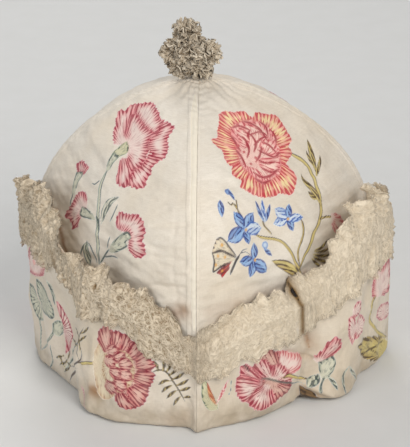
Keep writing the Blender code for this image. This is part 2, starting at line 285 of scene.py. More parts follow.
# Creases of the gores, in mm on the cloth: x0, y0, x1, y1 of the line, depth and width
CROWN_CREASES = {
    ("left", "front"): (
        (40.8, 112.3, 66.8, 118.4, -0.9, 1.5),
        (43, 103.2, 71.3, 106.8, 0.8, 1.6),
        (45.4, 96.2, 71.9, 98, -0.7, 1.4),
        (48.5, 88.9, 73.1, 92.7, 0.8, 1.6),
        (44.7, 79.1, 73.5, 83.6, -0.8, 1.5),
        (30.2, 89.2, 45.6, 95.1, 0.6, 1.8),
        (37.4, 68.5, 71.2, 74.9, 0.6, 1.8),
        (28.6, 104.4, 50.4, 100.7, -0.6, 2.2),
        (54.8, 130.3, 68, 57.2, -0.3, 2.0),
        (-20.3, 157.1, 23.9, 94.6, 0.3, 4.0),
        (7, 184.8, 40.7, 127.8, 0.3, 5.0),
    ),
    ("front", "right"): (
        (-5.4, 212, 3.7, 191.1, -0.4, 2.5),
        (-14, 201.7, -11.5, 185.9, 0.35, 2.5),
        (-65.2, 80.6, -11.5, 73, -0.5, 3.0),
        (-47.5, 71.4, -10.9, 64.2, 0.5, 2.5),
        (36.7, 159.8, 28, 109.5, 0.4, 5.0),
        (-57, 130.7, -47.6, 77.4, 0.3, 5.0),
    ),
}


def lapped_seam(off, width, step):
    """Relief in mm of a lapped seam at distances off from it: a strip of the given width that
    stands one step proud, less a stitched groove along its middle and another at the seam."""
    strip = step * smooth(width + 0.5, width - 0.5, off)
    stitches, joint = 0.5 * step * hill(off - width * 0.55, 0.6), 0.3 * hill(off, 0.7)
    return strip - stitches - joint


def crown_relief(first, second, u, chart, points):
    """How far in mm a gore's cloth stands off its even shape: waves of three sizes, puckers along
    the seams, gathers that fan out at the apex, the lapped seams and the creases."""
    seed = 11 + 7 * PAIRS.index((first, second))
    width = np.linalg.norm(points[:, -1] - points[:, 0], axis=-1)[:, None]
    left, right = u * width, (1 - u) * width
    to_seam = np.minimum(left, right)
    climb = chart[..., 1]
    above_brim = 0.4 + 0.6 * smooth(58, 84, climb)
    dents = waves(points, 52, seed) * smooth(0, 14, to_seam) * smooth(0, 10, climb) * above_brim
    ripples = waves(points * (1, 1, 2.2), 20, seed + 1) * smooth(0, 6, to_seam)
    crumple = waves(points * (1, 1, 1.6), 6, seed + 2)
    pucker = np.sin(climb * 1.15 + 2 * waves(points, 25, seed + 3)) * hill(to_seam, 7)
    puckered = 0.10 + 0.10 * smooth(150, 205, climb)
    fan = np.sin(u * math.pi * 9 + 1.7 * waves(points, 30, seed + 4))
    gathers = smooth(168, 205, climb) * fan * smooth(0, 4, to_seam)
    relief = 0.75 * dents + 0.22 * ripples + 0.05 * crumple + puckered * pucker + 0.22 * gathers
    front_laps = {("left", "front"): (right, 5.6, 0.42), ("front", "right"): (left, 1.6, 0.2)}
    off, wide, step = front_laps.get((first, second), (left, SEAM_LAP, SEAM_STEP))
    relief += lapped_seam(off, wide, step)
    relief += lapped_seam(left if off is right else right, SEAM_LAP, SEAM_STEP)
    return relief + fold_lines(chart, CROWN_CREASES.get((first, second), ()))


def quads(rows, columns, first=0):
    """The faces of a grid of points numbered row by row from first."""
    low = (np.arange(rows - 1)[:, None] * columns + np.arange(columns - 1)).ravel() + first
    return np.stack([low, low + 1, low + columns + 1, low + columns], 1)


def border(rows, columns, first=0):
    """The numbers of the points once round the edge of a grid."""
    at = np.arange(rows * columns).reshape(rows, columns) + first
    return np.concatenate([at[0, :-1], at[:-1, -1], at[-1, :0:-1], at[:0:-1, 0]])


def shell(name, outer, inner, material, fields=()):
    """A closed wall in one piece from the grids of its two faces, in mm from the axis. The inner
    grid may be coarser by a whole number, and a rim of triangles joins the two."""
    rows, columns = outer.shape[:2]
    inner_rows, inner_columns = inner.shape[:2]
    ratio = (rows - 1) // (inner_rows - 1)
    first_inner = rows * columns
    outside, within = border(rows, columns), border(inner_rows, inner_columns, first_inner)
    here = np.arange(len(outside))
    nearest = ((here + ratio // 2) // ratio) % len(within)
    after = np.roll(nearest, -1)
    onward = np.roll(outside, -1)
    rim = np.stack([onward, outside, within[nearest]], 1)
    stepped = after != nearest
    filler = np.stack([onward, within[nearest], within[after]], 1)[stepped]
    faces = quads(rows, columns).tolist()
    faces += quads(inner_rows, inner_columns, first_inner)[:, ::-1].tolist()
    faces += rim.tolist() + filler.tolist()
    points = np.concatenate([outer.reshape(-1, 3), inner.reshape(-1, 3)])
    piece = new_piece(name, points * MM + AXIS, faces, material)
    for field, values in fields:
        padded = np.zeros((len(points),) + values.shape[2:])
        padded[:first_inner] = values.reshape((first_inner,) + values.shape[2:])
        give_field(piece, field, padded)
    return piece


def new_piece(name, points, faces, material):
    """A smooth-shaded mesh piece that rides on the cap."""
    mesh = bpy.data.meshes.new(name)
    mesh.from_pydata(points.tolist(), [], faces)
    mesh.update()
    mesh.shade_smooth()
    mesh.materials.append(material)
    piece = bpy.data.objects.new(name, mesh)
    bpy.context.scene.collection.objects.link(piece)
    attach(piece, "root")
    return piece


def give_field(piece, name, values):
    """Keeps a number, or a colour of four, for every point of a piece."""
    kind, key = ("FLOAT", "value") if values.ndim == 1 else ("FLOAT_COLOR", "color")
    field = piece.data.attributes.new(name, kind, "POINT")
    field.data.foreach_set(key, values.astype(np.float32).ravel())


def make_gore(first, second, columns, rows, ratio, material):
    """One gore of the crown: its even face moved along the normals by the cloth's relief, and an
    inner face one wall further in."""
    along = uneven(columns, lambda t: 1 + 0.8 * (hill(t, 0.08) + hill(t - 1, 0.08)))
    u, v = np.meshgrid(along, np.linspace(0, 1, rows + 1))
    face = crown_face(first, second, u, v)
    chart = chart_of(face, first, second, meridian_length(v))
    normal = normals(face)
    relief = crown_relief(first, second, u, chart, face)
    outer = face + normal * relief[..., None]
    coarse = face[::ratio, ::ratio]
    inner = coarse + normals(coarse) * (relief[::ratio, ::ratio, None] - CROWN_WALL)
    outer, inner = clear_of_seams(outer, first, second), clear_of_seams(inner, first, second)
    name = f"{first}_{second}"
    paint = painted(chart=chart, **GORE_PAINT[first, second])
    piece = shell(f"silk_gore_{name}", outer, inner, material, paint)
    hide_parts(f"gore_{name}")


def clear_of_seams(point, first, second):
    """Points pushed to just inside their piece's two seam planes."""
    start, end = (outward(np.array(float(angle))) for angle in seam_angles(first, second))
    for inwards in (end, start):
        push = np.maximum(SEAM_GAP - point @ inwards, 0)
        point = point + push[..., None] * inwards
    return point


# Brim

BRIM_STOPS = (0.0, 0.12, 0.2, 0.3, 0.62, 1.0)  # v at the corners of the brim's section
BELLY_PART = 3
BELLY_POWER = 1.4
STEP_OUT = 0.6
STEP_IN = 0.3
SECTION_STEPS = 337
SECTION_PAST = 0.06
AVERAGED_OVER = 12
AVERAGE_WIDTH = 6.5

# Creases of the brim, as those of the gores
BRIM_CREASES = {
    ("left", "front"): (
        (21.1, 53.7, 15.1, 11, 1.2, 2.6),
        (-12.5, 64.9, -20.8, 9, -0.8, 3.0),
        (-38.1, 59.5, -1.7, 62.9, 0.8, 3.0),
        (31.9, 7.8, 61.3, 2.8, -0.7, 2.6),
        (56, 47.8, 73.4, 6.8, 0.7, 4.0),
        (38, 8.1, 68.9, 0.4, 0.4, 2.0),
        (9.2, 37.3, 9.8, 6.3, -0.9, 1.8),
    ),
    ("front", "right"): (
        (-15.3, 68.8, -10.1, 53.3, -1.8, 1.5),
        (-10.1, 53.3, -4.9, 36.8, -1.8, 1.7),
        (-21.7, 68.3, -17.4, 45.5, 1.3, 3.0),
        (-26.5, 41.1, -3.2, 29.2, -1.2, 1.3),
        (-28, 46.4, -3.4, 34.8, 1.0, 2.0),
        (-5.9, 12.1, 7.9, 2.8, 1.4, 1.7),
        (-5, 7.1, 7, 1.8, -1.4, 2.0),
        (11.4, 68.8, 5.7, 33.4, 0.9, 4.0),
        (-1, 64.8, 1.2, 37.5, -0.8, 3.0),
        (-69.4, 9.3, -24.4, 8.7, 0.5, 3.0),
        (-56.6, 0.4, -22.7, 2.2, -0.5, 2.5),
        (-3.2, 29.2, 0.4, 33.1, 0.8, 1.6),
    ),
}


def brim_section(first, second, u):
    """The brim's section values in mm at shares u from the first seam to the second."""
    values = smooth_rows(BRIM_SECTIONS[first, second], u)
    section = dict(zip(BRIM_COLUMNS, np.moveaxis(values, -1, 0)))
    section["lift"] = np.maximum(section["lift"], 0)
    return section


def brim_face(first, second, u, v):
    """The brim's outer face in mm from the axis, at columns u and rows v: its section's corners,
    joined by straight lines that are averaged with their neighbours along the section."""
    section = brim_section(first, second, u)
    crown_foot = crown_reach(first, second, section["azimuth"], np.full_like(u, CROWN_FOOT))
    foot, height, flat = section["foot"], section["height"], np.zeros_like(u)
    step = np.minimum(crown_foot + STEP_OUT, foot - HEM_ROUND - STEP_IN)
    reaches = (crown_foot - TOE_REACH, step, foot - HEM_ROUND, foot, section["belly"],
               section["edge"])
    lift = section["lift"]
    heights = (flat, flat, lift, lift + HEM_ROUND, (lift + height) / 2, height)
    fine = np.linspace(-SECTION_PAST, 1 + SECTION_PAST, SECTION_STEPS)
    part = np.clip(np.searchsorted(BRIM_STOPS, fine, side="right") - 1, 0, 4)
    stops = np.array(BRIM_STOPS)
    t = (fine - stops[part]) / (stops[part + 1] - stops[part])
    t = np.where(part == BELLY_PART, 1 - np.clip(1 - t, 0, 1) ** BELLY_POWER, t)[:, None]
    profile = np.stack([reaches, heights], -1)
    path = profile[part] * (1 - t[..., None]) + profile[part + 1] * t[..., None]
    off = np.arange(-AVERAGED_OVER, AVERAGED_OVER + 1)
    weight = hill(off, AVERAGE_WIDTH)
    weight /= weight.sum()
    rounded = sum(share * np.roll(path, k, 0) for k, share in zip(off, weight))
    place = np.interp(v, fine, np.arange(len(fine)))
    low = np.minimum(place.astype(int), len(fine) - 2)
    between = (place - low)[:, None, None]
    reach, z = np.moveaxis(rounded[low] * (1 - between) + rounded[low + 1] * between, -1, 0)
    point = outward(section["azimuth"]) * reach[..., None]
    point[..., 2] = np.maximum(z, 0)
    return point


def brim_relief(first, second, u, v, chart, points):
    """How far in mm a brim's cloth stands off its even shape: soft dents and creases that calm
    down towards the seams, the hem and the lace."""
    seed = 61 + 7 * PAIRS.index((first, second))
    width = np.linalg.norm(points[:, -1] - points[:, 0], axis=-1)[:, None]
    to_seam = np.minimum(u, 1 - u) * width
    above_hem, under_lace = smooth(0.2, 0.42, v), 1 - 0.8 * smooth(0.6, 0.82, v)
    dents = waves(points, 34, seed) * smooth(0, 12, to_seam) * above_hem * under_lace
    ripples = waves(points * (1, 1, 0.6), 13, seed + 1) * smooth(0, 5, to_seam)
    crumple = waves(points, 5, seed + 2)
    relief = dents + 0.28 * ripples + 0.07 * crumple - 0.5 * hill(to_seam, 1.1)
    folds = fold_lines(chart, BRIM_CREASES.get((first, second), ()))
    return (relief + folds) * smooth(0.13, 0.3, v)


def make_brim(first, second, columns, rows, ratio, material):
    """One piece of the brim: its outer face with the cloth's relief, and an inner face one wall
    further in."""
    u = np.linspace(0, 1, columns + 1)
    v = uneven(rows, lambda t: np.where(t < 0.16, 0.35, 1.0))
    face = brim_face(first, second, u, v)
    across, up = np.meshgrid(u, v)
    chart = chart_of(face, first, second, face[..., 2])
    relief = brim_relief(first, second, across, up, chart, face)
    normal = normals(face)
    outer = face + normal * relief[..., None]
    inner = (outer - normal * BRIM_WALL)[::ratio, ::ratio]
    outer, inner = clear_of_seams(outer, first, second), clear_of_seams(inner, first, second)
    for grid in (outer, inner):
        grid[..., 2] = np.maximum(grid[..., 2], 0)
    name = f"{first}_{second}"
    paint = painted(chart=chart, **BRIM_PAINT[first, second])
    piece = shell(f"silk_brim_{name}", outer, inner, material, paint)
    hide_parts(f"brim_{name}")


# Lace

LACE_THICK = 0.35
LACE_CUT = {"front": (225.0, 42.0), "back": (225.0, 37.0)}  # one length laid flat, mm
LACE_STAND_OFF = 1.7
LACE_FLUTES = 8
LACE_LEAN = 0.38
SCALLOP = 5.2
GATHER = 6.4
RUN_PER_RADIAN = 100.0

# How much of the lace's rise is left, by azimuth
LACE_TRIM = {
    ("left", "front"): (
        (270, 1.0), (298, 1.0), (303, 0.6), (306, 0.55), (317, 0.5), (320, 0.68), (323, 1.1),
        (327, 1.0), (330, 0.8), (334, 0.65), (338, 0.7), (342, 0.9), (349, 0.8), (360, 0.85),
    ),
    ("front", "right"): (
        (0, 0.85), (5, 0.85), (12, 0.8), (17, 0.65), (26, 0.62), (36, 0.62), (41, 0.48), (48, 0.52),
        (52, 0.62), (56, 0.85), (60, 0.95), (90, 1.0),
    ),
}

# Where the lace is pushed out, by its first seam: azimuth, width in degrees, and how far at the
# sewn line and at the free edge
LACE_PUFF = {"left": (276, 13, 1.47, 2.73), "back": (276, 13, 1.47, 2.73)}
NO_PUFF = (0, 1, 0.0, 0.0)

# Folds in the lace, with a brown stain, painted shade and a near black painted shadow in their
# slits, in mm of its run and height: x0, y0, x1, y1, strength and width
LACE_FOLD_STAIN_AND_SHADE = {
    ("left", "front"): (
        (-57.8, 78.6, -57.2, 80.6, 1.0, 0.9),
        (-96, 90, -90, 72, 0.4, 3.0),
    ),
    ("front", "right"): (
        (60.0, 86, 61.5, 70, 0.75, 4.0),
        (61.5, 74, 64.5, 46, 0.8, 2.3),
    ),
}


def lace_face(first, second, u, v, seed):
    """The outer face of a length of lace in mm from the axis, and how strongly its folds are
    stained and painted with shade. The sewn line is at v = 0.5. Above it the lace stands free,
    leans in on the crown and flutes; below it the lace hangs on the brim. The gathers are sines of
    the run along it with a wandering phase, and its edges are scalloped."""
    section = brim_section(first, second, u)
    azimuth, top = section["azimuth"][None, :], section["height"][None, :]
    run = np.radians(section["azimuth"]) * RUN_PER_RADIAN
    free, hung = np.clip(2 * v - 1, 0, 1)[:, None], np.clip(1 - 2 * v, 0, 1)[:, None]
    near = np.stack([run, np.zeros_like(run)], -1)
    wander = waves(near, 60, seed)
    scallop = 1.3 * np.abs(np.sin(math.pi * run / SCALLOP + wander)) - 1.0
    trim = np.array(LACE_TRIM.get((first, second), ((0, 0.9), (360, 0.9))))
    share = np.interp(section["azimuth"], trim[:, 0], trim[:, 1])
    rise = section["rise"] * share + 1.4 * waves(near, 17, seed + 1) + scallop
    drop = section["drop"] + 1.3 * waves(near, 15, seed + 2) + scallop
    above, below = free * rise, hung * drop
    height = top + above - below
    down = np.clip(2 * below / (top - section["lift"]), 0, 1)
    brim_reach = section["edge"] + (section["belly"] - section["edge"]) * down
    sides = np.clip((top - 55) / 45, 0, 1)
    swing = np.sin(2 * math.pi * (LACE_FLUTES * u + 0.3 * np.sin(9 * u)))[None, :]
    ends = np.minimum(1, 12 * u * (1 - u))[None, :]
    flutes = ((1.6 + 3.4 * sides) * free + 2.2 * hung) * (0.6 + swing) * ends
    place = np.stack([np.broadcast_to(run, height.shape), height], -1)
    phase = run[None, :] * 2 * math.pi / GATHER + 1.6 * waves(place, 26, seed + 3)
    spread = free + 0.75 * hung
    loose = 0.35 + 0.65 * sides
    gathers = np.sin(phase) + 0.5 * np.sin(2.1 * phase + 1)
    gathers = gathers * (0.2 + spread) * (0.7 + 0.5 * waves(place, 22, seed + 4))
    ruffle = (0.2 + 0.45 * spread) * waves(place, 5.5, seed + 5)
    crumple = (0.12 + 0.16 * loose) * waves(place, 2.6, seed + 6)
    at, width, sewn, loosest = LACE_PUFF.get(first, NO_PUFF)
    puff = hill(azimuth - at, width) * (sewn * (1 - hung) + loosest * free)
    whole_turn = 2 * math.pi * RUN_PER_RADIAN if first == "left" else 0.0
    fold_stain_and_shade = fold_lines(place - (whole_turn, 0.0), LACE_FOLD_STAIN_AND_SHADE.get((first, second), ()))
    depth = flutes + loose * (gathers + ruffle) + crumple + puff - 0.9 * fold_stain_and_shade
    crown = crown_reach(first, second, np.broadcast_to(azimuth, height.shape), height)
    off = LACE_STAND_OFF - 0.6 * free * (1 - sides)
    least = np.maximum(crown, np.where(above > 0, 0, brim_reach)) + off
    reach = brim_reach + off + depth - (LACE_LEAN + 0.75 * (1 - sides)) * above
    over = reach - least
    reach = least + np.where(over > 0, over, 0.55 * np.abs(over) / (1 + 0.25 * np.abs(over)))
    point = outward(azimuth) * reach[..., None]
    point[..., 2] = height + 0.5 * spread * waves(place, 7, seed + 7)
    return point, fold_stain_and_shade


def make_lace(first, second, columns, rows, material):
    """One length of the lace edging, a thin closed wall."""
    u, v = np.linspace(0, 1, columns + 1), np.linspace(0, 1, rows + 1)
    seed = 301 + 10 * PAIRS.index((first, second))
    outer, fold_stain_and_shade = lace_face(first, second, u, v, seed)
    inner = outer - normals(outer) * LACE_THICK
    outer, inner = clear_of_seams(outer, first, second), clear_of_seams(inner, first, second)
    name = f"{first}_{second}"
    cut = np.array(LACE_CUT["front" if "front" in (first, second) else "back"])
    flat = np.dstack(np.meshgrid(u * cut[0], v * cut[1]))
    piece = shell(f"lace_edging_{name}", outer, inner, material)
    rim = np.broadcast_to(np.minimum(v, 1 - v)[:, None] * cut[1], fold_stain_and_shade.shape)
    for field, values in (("soil", fold_stain_and_shade), ("rim", rim)):
        give_field(piece, field, np.concatenate([values.ravel()] * 2))
    give_map(piece, np.concatenate([flat.reshape(-1, 2), flat.reshape(-1, 2)]) * MM)
    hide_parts(f"lace_{name}")


def give_map(piece, places):
    """A UV map in metres of cloth, from a place for each point."""
    mesh = piece.data
    corner = np.zeros(len(mesh.loops), np.int32)
    mesh.loops.foreach_get("vertex_index", corner)
    layer = mesh.uv_layers.new(name="cloth")
    layer.data.foreach_set("uv", places[corner].astype(np.float32).ravel())


# Tuft

TUFT_FOOT = 171.4
TUFT_GRID = 13
TUFT_THICK = 0.4
SCRAP_TURN = 2.4
SCRAP_SIDE = (0.31, 0.52, 0.79)  # square to this and to its own way a scrap begins to spread
MAP_STEP = 20

# The lobes, in mm: x, y and z of the middle, reach, and the number of scraps
TUFT_LOBES = (
    (-5.0, 0.0, 185.0, 12.0, 26),
    (-7.0, 0.5, 197.5, 8.5, 16),
    (-14.0, -1.0, 186.5, 9.0, 16),
    (4.5, -1.0, 184.5, 9.0, 16),
    (-4.0, -6.0, 184.0, 9.0, 16),
    (-5.0, 7.0, 186.0, 8.5, 12),
    (-10.0, -2.0, 178.5, 8.0, 14),
    (1.0, -2.0, 178.0, 8.5, 14),
)


def tuft_ruffle(root, way, turn, length, width, seed):
    """A scrap of gathered lace, as a grid in mm: a fan that spreads from its root, evenly to both
    sides of way, and flutes and crumples more towards its free edge."""
    u, v = np.meshgrid(np.linspace(-1, 1, TUFT_GRID), np.linspace(0, 1, TUFT_GRID))
    side = np.cross(way, SCRAP_SIDE)
    side /= np.linalg.norm(side)
    over = np.cross(way, side)
    across = side * math.cos(turn) + over * math.sin(turn)
    out = over * math.cos(turn) - side * math.sin(turn)
    reach = length * v * (1 + 0.05 * np.sin(9 * u + seed) * v)
    opened = u * width / length
    flute = np.sin(2 * math.pi * 1.6 * u + seed) * 1.6 * v
    point = root + (reach * np.cos(opened))[..., None] * way
    point = point + (reach * np.sin(opened))[..., None] * across + flute[..., None] * out
    crumple = np.stack([waves(point, 4, seed * 3 + k, 10) for k in range(3)], -1)
    return point + 0.45 * crumple * (0.3 + v[..., None])


def make_tuft(material):
    """The tuft at the apex: lobes of gathered scraps of lace, each scrap a thin closed wall, that
    point out evenly from the middle of their lobe."""
    draw = np.random.default_rng(5)
    points, faces, places = [], [], []
    count, seed = 0, 0
    for x, y, z, radius, number in TUFT_LOBES:
        for k in range(number):
            seed += 1
            rise = 1 - 2 * (k + 0.5) / number
            angle = SCRAP_TURN * k + draw.uniform(0, 0.8)
            flat = math.sqrt(1 - rise * rise)
            way = np.array([flat * math.cos(angle), flat * math.sin(angle), rise])
            root = np.array([x, y, z])
            size = radius * draw.uniform(0.86, 1.0)
            outer = tuft_ruffle(root, way, draw.uniform(0, 3.1), size, radius * 0.62, seed)
            inner = outer - normals(outer) * TUFT_THICK
            points += [outer.reshape(-1, 3), inner.reshape(-1, 3)]
            faces += wall_faces(TUFT_GRID, TUFT_GRID, count).tolist()
            count += 2 * TUFT_GRID**2
            run = np.linspace(0, 1, TUFT_GRID)
            flat_map = np.dstack(np.meshgrid(run * radius * 1.2 + MAP_STEP * seed, run * size))
            places += [flat_map.reshape(-1, 2)] * 2
    points = np.concatenate(points)
    points[:, 2] = np.maximum(points[:, 2], TUFT_FOOT)
    piece = new_piece("lace_tuft", points * MM + AXIS, faces, material)
    give_map(piece, np.concatenate(places) * MM)
    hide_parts("tuft")


def wall_faces(rows, columns, first):
    """The faces of a closed wall between two equal grids, numbered from first."""
    total = rows * columns
    front, edge = quads(rows, columns, first), border(rows, columns, first)
    onward = np.roll(edge, -1)
    rim = np.stack([onward, edge, edge + total, onward + total], 1)
    return np.concatenate([front, front[:, ::-1] + total, rim])


# Paint

TOOTH = 2.3  # mm from one tooth of a petal's edge to the next
BRUSH_UNIT = 100  # mm across the strokes that an attribute keeps as 1


class Painting:
    """The paint on one piece of silk, kept for each of its points: the wash colour and how much of
    it covers the silk, the deeper colour of the hatching over it, how thick the hatching is, and
    the hatching's own coordinates, in mm across the strokes and as a share along them."""

    def __init__(self, chart):
        self.chart = chart.reshape(-1, 2)
        self.shape = chart.shape[:2]
        count = len(self.chart)
        self.wash, self.deep = np.ones((count, 3)), np.ones((count, 3))
        self.cover, self.depth, self.stain_and_shade_share = np.zeros(count), np.zeros(count), np.zeros(count)
        self.across, self.along = np.zeros(count), np.zeros(count)

    def near(self, outline, margin=4.0):
        """The numbers of the points within a margin of an outline's box, and where they are."""
        low, high = outline.min(0) - margin, outline.max(0) + margin
        found = np.nonzero(((self.chart > low) & (self.chart < high)).all(1))[0]
        return found, self.chart[found]

    def lay(self, found, amount, wash, deep, depth=0.0, across=0.0, along=0.0):
        """Lays paint over what is there, by amount at each point found."""
        keep = 1 - amount
        for field, new in ((self.wash, wash), (self.deep, deep)):
            field[found] = field[found] * keep[:, None] + new * amount[:, None]
        strong = amount > 0.4
        self.across[found] = np.where(strong, across, self.across[found])
        self.along[found] = np.where(strong, along, self.along[found])
        self.depth[found] = self.depth[found] * keep + depth * amount
        self.cover[found] = 1 - (1 - self.cover[found]) * keep

    def fields(self):
        """The fields as the attributes that the silk's finish reads."""
        paint = np.concatenate([self.wash, self.cover[:, None]], 1)
        deep = np.concatenate([self.deep, self.depth[:, None]], 1)
        brush = np.stack([self.across / BRUSH_UNIT, self.along, self.stain_and_shade_share, self.cover], 1)
        grids = (("paint", paint), ("deep", deep), ("brush", brush))
        return [(name, values.reshape(*self.shape, 4)) for name, values in grids]


def shade(red, green, blue):
    """A colour as it looks on screen, from 0 to 255, turned into light."""
    level = np.array([red, green, blue]) / 255
    return np.where(level < 0.04045, level / 12.92, ((level + 0.055) / 1.055) ** 2.4)


# Each paint as it looks on screen: its wash, its wash towards an edge, and its deeper strokes
SCREEN_PAINTS = {
    "crimson": ((240, 216, 206), (230, 140, 144), (158, 34, 60)),
    # A darker crimson, as painted shade on the brim's flowers
    "wine": ((226, 184, 168), (206, 116, 114), (136, 32, 50)),
    "rose": ((250, 224, 168), (242, 162, 150), (200, 58, 68)),
    "ball": ((248, 210, 196), (240, 160, 156), (192, 62, 76)),
    "pale_pink": ((243, 219, 209), (238, 180, 174), (206, 104, 110)),
    "blue": ((150, 184, 224), (50, 98, 176), (16, 46, 122)),
    "pale_blue": ((216, 226, 236), (140, 174, 218), (50, 98, 178)),
    "olive": ((214, 196, 126), (176, 148, 78), (78, 54, 18)),
    "grey_green": ((214, 212, 190), (140, 154, 138), (62, 78, 76)),
    "pale_leaf": ((226, 220, 202), (196, 198, 178), (86, 98, 92)),
    "moss": ((188, 168, 108), (146, 124, 68), (74, 56, 26)),
    "yellow_green": ((214, 208, 172), (186, 188, 148), (92, 106, 84)),
    "yellow": ((232, 186, 92), (222, 160, 70), (180, 110, 40)),
    "red": ((206, 74, 62), (180, 40, 42), (120, 22, 30)),
    "brown": ((128, 100, 66), (104, 78, 46), (64, 44, 26)),
    "dark": ((74, 66, 64), (60, 54, 54), (40, 36, 38)),
    "orange": ((230, 178, 124), (222, 140, 90), (184, 92, 60)),
    "red_line": ((206, 92, 96), (190, 66, 76), (160, 40, 56)),
    "wing": ((226, 212, 186), (206, 184, 152), (84, 72, 72)),
    "yellow_base": ((230, 214, 184), (218, 192, 154), (168, 112, 88)),
    "seam_cream": ((241, 231, 212), (241, 231, 212), (238, 226, 204)),
}
PAINTS = {name: [shade(*tone) for tone in tones] for name, tones in SCREEN_PAINTS.items()}


def inside(points, outline):
    """Distance in mm from points to a closed outline, positive inside it: the least distance to
    its sides, signed by how often a level line from the point crosses them."""
    way = np.roll(outline, -1, 0) - outline
    offset = points[:, None] - outline
    share = np.clip((offset * way).sum(-1) / np.maximum((way**2).sum(-1), 1e-9), 0, 1)
    distance = np.linalg.norm(offset - share[..., None] * way, axis=-1).min(1)
    above = outline[:, 1] > points[:, None, 1]
    above_next = np.roll(outline[:, 1], -1) > points[:, None, 1]
    slope = way[:, 0] / np.where(np.abs(way[:, 1]) < 1e-9, 1e-9, way[:, 1])
    right = points[:, None, 0] < outline[:, 0] + slope * (points[:, None, 1] - outline[:, 1])
    crossings = ((above != above_next) & right).sum(1)
    return np.where(crossings % 2 == 1, distance, -distance)


def beside(points, line):
    """For points near an open line: the distance in mm to its right, and the share along it."""
    way = line[1:] - line[:-1]
    length = np.linalg.norm(way, axis=1)
    offset = points[:, None] - line[:-1]
    share = np.clip((offset * way).sum(-1) / length**2, 0, 1)
    gap = offset - share[..., None] * way
    distance = np.linalg.norm(gap, axis=-1)
    best = distance.argmin(1)
    row = np.arange(len(points))
    side = np.sign(way[best, 1] * gap[row, best, 0] - way[best, 0] * gap[row, best, 1])
    run = np.concatenate([[0], np.cumsum(length)])
    along = (run[best] + share[row, best] * length[best]) / run[-1]
    return distance[row, best] * np.where(side == 0, 1, side), along


def toned(colour, share):
    """A paint's wash, from its middle (0) to its edge (1), for each point."""
    wash, rim, _ = PAINTS[colour]
    return wash + (rim - wash) * np.asarray(share)[:, None]


def stroke(painting, colour, width, points, taper=0.35):
    """A brush stroke along a smooth line, of full width in the middle and thinner at its ends,
    pale along the middle and outlined where it is wide enough."""
    line = line_points(points, 6 * len(points))
    found, place = painting.near(line, width + 1)
    if not len(found):
        return
    off, along = beside(place, line)
    ends = taper + (1 - taper) * np.clip(np.minimum(along, 1 - along) * 6, 0, 1)
    half = 0.5 * width * ends
    amount = smooth(0.4, -0.4, np.abs(off) - half)
    rim = smooth(half - 0.95, half - 0.3, np.abs(off + 0.1))
    painting.lay(found, amount, toned(colour, rim), PAINTS[colour][2], rim, off, along)


def leaf(painting, colour, width, points, rib=0.8):
    """A leaf along its midrib, from base to tip: half its width by the sine of the share along it,
    with a dark edge and midrib and one side in shade."""
    line = line_points(points, 6 * len(points))
    found, place = painting.near(line, width + 1)
    if not len(found):
        return
    off, along = beside(place, line)
    half = 0.5 * width * np.sin(math.pi * np.clip(along, 0.02, 0.98)) ** 0.7
    amount = smooth(0.4, -0.4, np.abs(off) - half)
    rim = smooth(np.maximum(half - 1.5, 0.4 * half), half, np.abs(off))
    depth = np.clip(0.1 + 0.8 * rim + rib * hill(off, 0.4) + 0.3 * (off > 0), 0, 1)
    tone = np.clip(rim + 0.5 * (off > 0), 0, 1)
    across = off + 5 * along
    painting.lay(found, amount, toned(colour, tone), PAINTS[colour][2], depth, across, along)


def bloom(painting, colour, hub, outline, reach_in=4.9, core=0.1, teeth=0.9, streaks=0.0,
          deepest=0.84):
    """A petal that fans from a hub to a toothed outline. Its strokes run along lines from the hub:
    close together at the outline, and fewer and thinner with the distance in from it. Streaks of
    the edge's wash may run through the middle's."""
    outline, hub = np.array(outline, float), np.array(hub, float)
    closed = line_points(np.vstack([outline, outline[:1]]), 5 * len(outline))[:-1]
    found, place = painting.near(closed)
    if not len(found):
        return
    from_hub = place - hub
    turn, reach = np.arctan2(from_hub[:, 1], from_hub[:, 0]), np.linalg.norm(from_hub, axis=1)
    size = np.linalg.norm(closed - hub, axis=1).mean()
    run = turn * size
    comb = np.cos(run * 2 * math.pi / TOOTH + 1.2 * np.sin(run * 0.9))
    depth_in = inside(place, closed) + 0.5 * teeth * comb
    amount = smooth(-0.3, 0.35, depth_in)
    out = smooth(0.25, 0.6, reach / size)
    depth = core + (deepest - core) * np.clip(1.04 - depth_in / reach_in, 0, 1) * out
    streak = streaks * np.sin(run * 1.5 + 2 * np.sin(run * 0.5) + 0.3 * reach)
    tone = np.clip(1.1 - depth_in / reach_in + streak, 0, 1) * out
    along = reach / size
    painting.lay(found, amount, toned(colour, tone), PAINTS[colour][2], depth, run, along)


def star(painting, colour, centre, tips, width=0.62):
    """A flower of pointed petals, each a leaf from the centre to a tip."""
    centre = np.array(centre, float)
    for tip in tips:
        way = np.array(tip, float) - centre
        middle = centre + 0.6 * way
        leaf(painting, colour, width * np.linalg.norm(way), (centre, middle, tip), 0.45)


def dot(painting, colour, radius, centre):
    """A round touch of the brush."""
    found, place = painting.near(np.array([centre]), radius + 1)
    if len(found):
        off = np.linalg.norm(place - np.array(centre), axis=1)
        wash = toned(colour, np.clip(off / radius, 0, 1))
        painting.lay(found, smooth(0.35, -0.35, off - radius), wash, PAINTS[colour][2], 0.3, off)


def soil(painting, strength, radius, points):
    """A darkening that soaks out from a line: real stains in some rows, painted shade beside the lace and
    in hollows in others.
    """
    line = line_points(points, 4 * len(points)) if len(points) > 1 else np.array(points, float)
    found, place = painting.near(line, 2.5 * radius)
    if len(found):
        off = np.linalg.norm(place[:, None] - line, axis=-1).min(1)
        painting.stain_and_shade_share[found] = np.maximum(painting.stain_and_shade_share[found], strength * hill(off, radius))


KINDS = {"stroke": stroke, "leaf": leaf, "bloom": bloom, "star": star, "dot": dot, "soil": soil}


